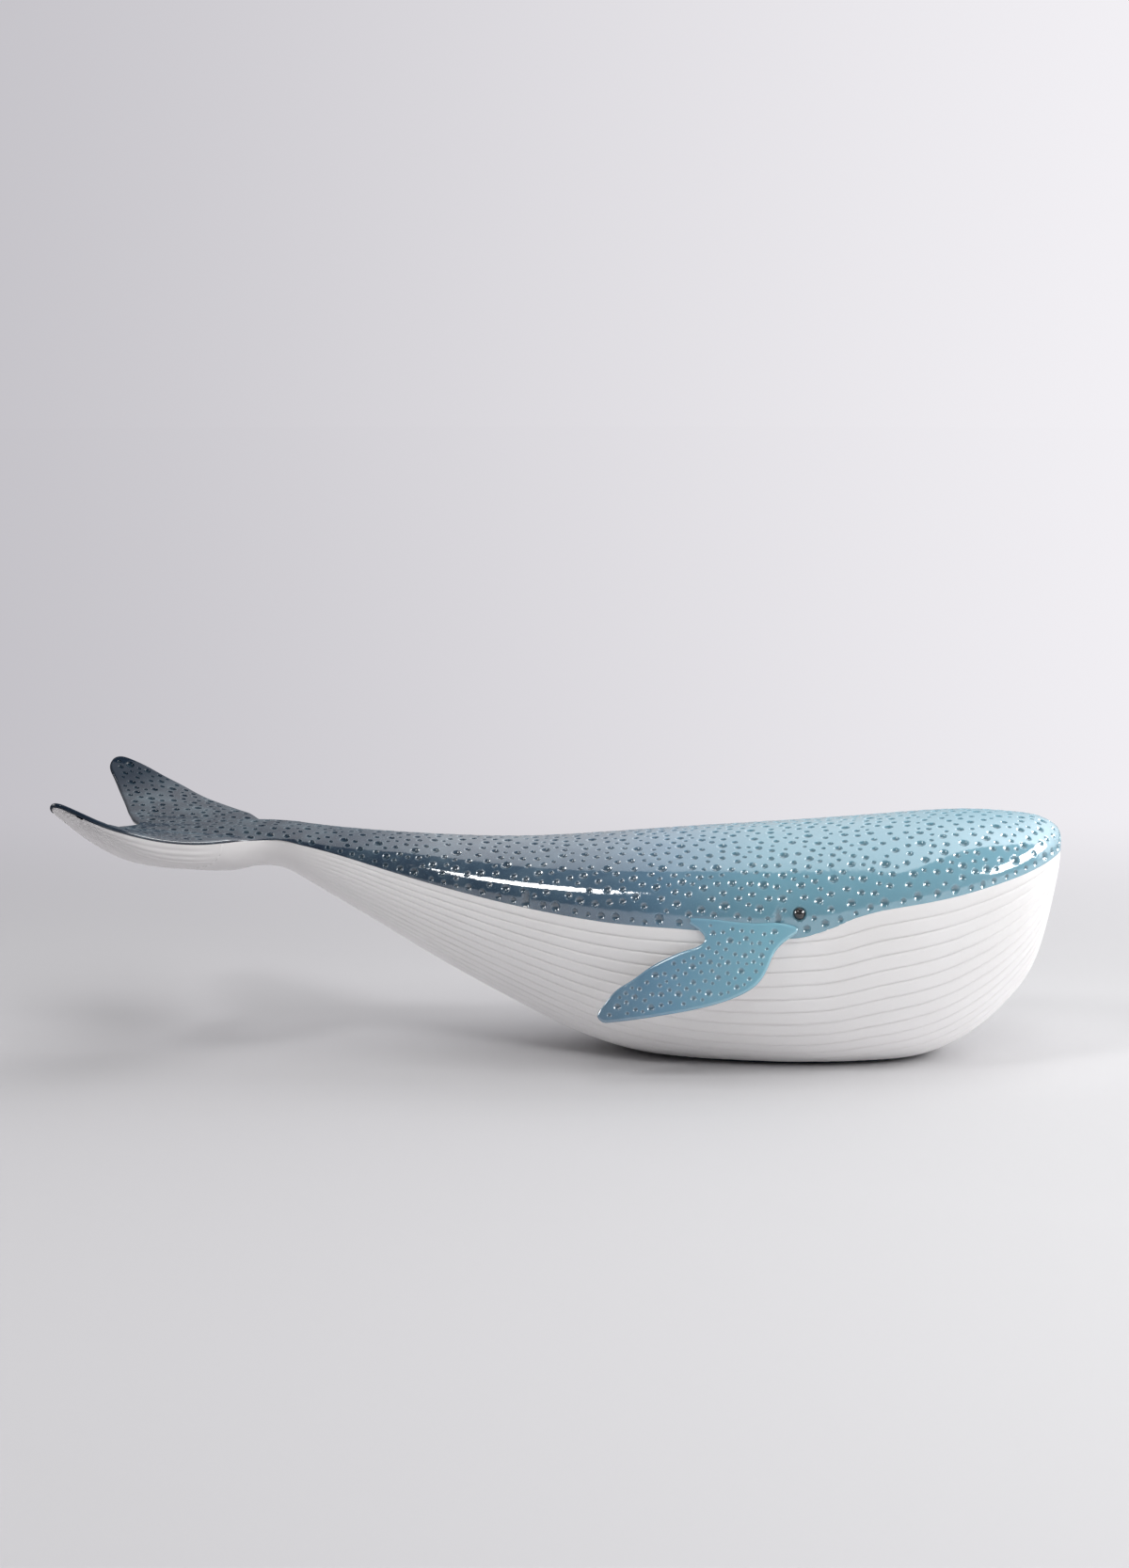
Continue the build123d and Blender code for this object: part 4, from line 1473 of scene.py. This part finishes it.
def ring_faces(rings, sides):
    """Quads between closed rings that are numbered one after another, and both caps."""
    faces = []
    for ring in range(rings - 1):
        for k in range(sides):
            after = (k + 1) % sides
            low, high = ring * sides, (ring + 1) * sides
            faces.append((low + k, low + after, high + after, high + k))
    faces.append(list(range(sides))[::-1])
    faces.append([(rings - 1) * sides + k for k in range(sides)])
    return faces


def turned_piece(name, profile, foot, axis, sides):
    """A piece turned round an axis, from radius and height pairs."""
    axis = np.array(axis, float)
    across = np.cross(axis, [1, 0, 0])
    across /= np.linalg.norm(across)
    other = np.cross(axis, across)
    corners = []
    for radius, height in profile:
        for k in range(sides):
            angle = math.tau * k / sides
            outward = math.cos(angle) * across + math.sin(angle) * other
            corners.append(foot + axis * height + radius * outward)
    return shaped_mesh(name, np.array(corners), ring_faces(len(profile), sides))


eye_glaze = Paint(bpy.data.materials.new("black_glaze"))
eye_cloud = eye_glaze.noise(eye_glaze.place(), 500.0, 2.0)
eye_share = eye_glaze.ease(eye_cloud, 0.45, 0.7)
eye_colour = eye_glaze.blend(eye_share, (0.006, 0.010, 0.014, 1), (0.030, 0.024, 0.020, 1))
eye_glaze.give("Principled BSDF", Base_Color=eye_colour, Roughness=0.05 + 0.05 * eye_cloud, IOR=1.7)
eye_seat_point = flank_point(eye_x, eye_height)
dome_angles = np.linspace(-1.1, math.pi / 2 - 0.02, 22)
dome = [(eye_radius * math.cos(angle), eye_radius * math.sin(angle)) for angle in dome_angles]
eye_stem = [(1.1, -5.0), (1.2, -4.8), (1.2, -2.7)]
eye_profile = [*eye_stem, *dome]
for side, name in ((1, "right_eye"), (-1, "left_eye")):
    centre = (eye_seat_point + [0, eye_sink, 0]) * [1, side, 1]
    eye = turned_piece(name + "_bead", eye_profile, centre, (0, -side, 0), eye_sides)
    eye.data.materials.append(eye_glaze.owner)
    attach(eye, "root")
    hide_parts(name)

# Felt pad: thin pressed wool, cut to the flat of the belly, set in from its edge and
# glued on, so that the whale doesn't scratch the shelf.
pad_margin = 0.7
pad_fray = 0.15
pad_sides = 160
pad_low, pad_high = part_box("base_pad")


def pad_half(x, height):
    """Half width of the pad at a place and a height."""
    travel = np.interp(x, body_curve(table_travel)[:, 0], table_travel)
    _, half, widest, _, keel, fullness = body_curve(travel)[0]
    reach = min((widest - height) / (widest - keel), 1.0)
    return max(half * (1 - reach**fullness) ** (1 / fullness) - pad_margin, 0.0)


felt = Paint(bpy.data.materials.new("navy_felt"))
felt_place = felt.place()
fibres = felt.noise(felt_place, 2600.0, 4.0)
tufts = felt.noise(felt_place, 350.0, 2.0)
felt_colour = felt.blend(fibres, (0.010, 0.018, 0.042, 1), (0.035, 0.055, 0.100, 1))
felt_colour = felt.blend(tufts * 0.3, felt_colour, (0.05, 0.07, 0.11, 1))
felt_bump = felt.bump(fibres, 0.6, 0.0003)
felt.give("Principled BSDF", Base_Color=felt_colour, Roughness=0.9, Sheen_Weight=0.4, Normal=felt_bump)
pad_rings = [(0.3, 0.1), (0.0, 0.4), (0.0, 1.4), (0.2, pad_top)]
pad_middle = (pad_low.x + pad_high.x) / 2 / mm
pad_reach = (pad_high.x - pad_low.x) / 2 / mm
pad_dice = random.Random(3)
pad_edge = []
for k in range(pad_sides):
    angle = math.tau * k / pad_sides
    x = pad_middle + pad_reach * math.cos(angle)
    pad_edge.append((x, math.copysign(pad_half(x, 0.0), math.sin(angle))))
pad_edge = np.array(pad_edge)
pad_corners = []
for inset, height in pad_rings:
    for x, y in pad_edge:
        drawn = inset + pad_dice.uniform(0.0, pad_fray)
        share = 1 - drawn / math.hypot(x - pad_middle, y)
        pad_corners.append((pad_middle + (x - pad_middle) * share, y * share, height))
pad_faces = ring_faces(len(pad_rings), pad_sides)
# The caps go first: the outward side is worked out from a cap, not from a thin end face.
pad_faces = pad_faces[-2:] + pad_faces[:-2]
pad = shaped_mesh("felt_pad", pad_corners, pad_faces)
closing = bmesh.new()
closing.from_mesh(pad.data)
bmesh.ops.remove_doubles(closing, verts=closing.verts, dist=0.01 * mm)
bmesh.ops.recalc_face_normals(closing, faces=closing.faces)
closing.to_mesh(pad.data)
closing.free()
pad.data.materials.append(felt.owner)
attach(pad, "root")
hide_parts("base_pad")
pad_area = float(turned_area(pad_edge))

# Vent stopper: a moulded rubber bung that closes the casting hole under the belly. It is
# pressed in flush with the flat of the belly, and the felt pad covers it.
rubber = Paint(bpy.data.materials.new("black_rubber"))
bloom = rubber.noise(rubber.place(), 300.0, 3.0)
rubber_colour = rubber.blend(bloom, (0.018, 0.018, 0.019, 1), (0.045, 0.044, 0.043, 1))
rubber_bump = rubber.bump(bloom, 0.3, 0.0001)
rubber.give("Principled BSDF", Base_Color=rubber_colour, Roughness=0.55 + 0.25 * bloom, Normal=rubber_bump)
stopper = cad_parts["vent_stopper"]
stopper.data.materials.clear()
stopper.data.materials.append(rubber.owner)
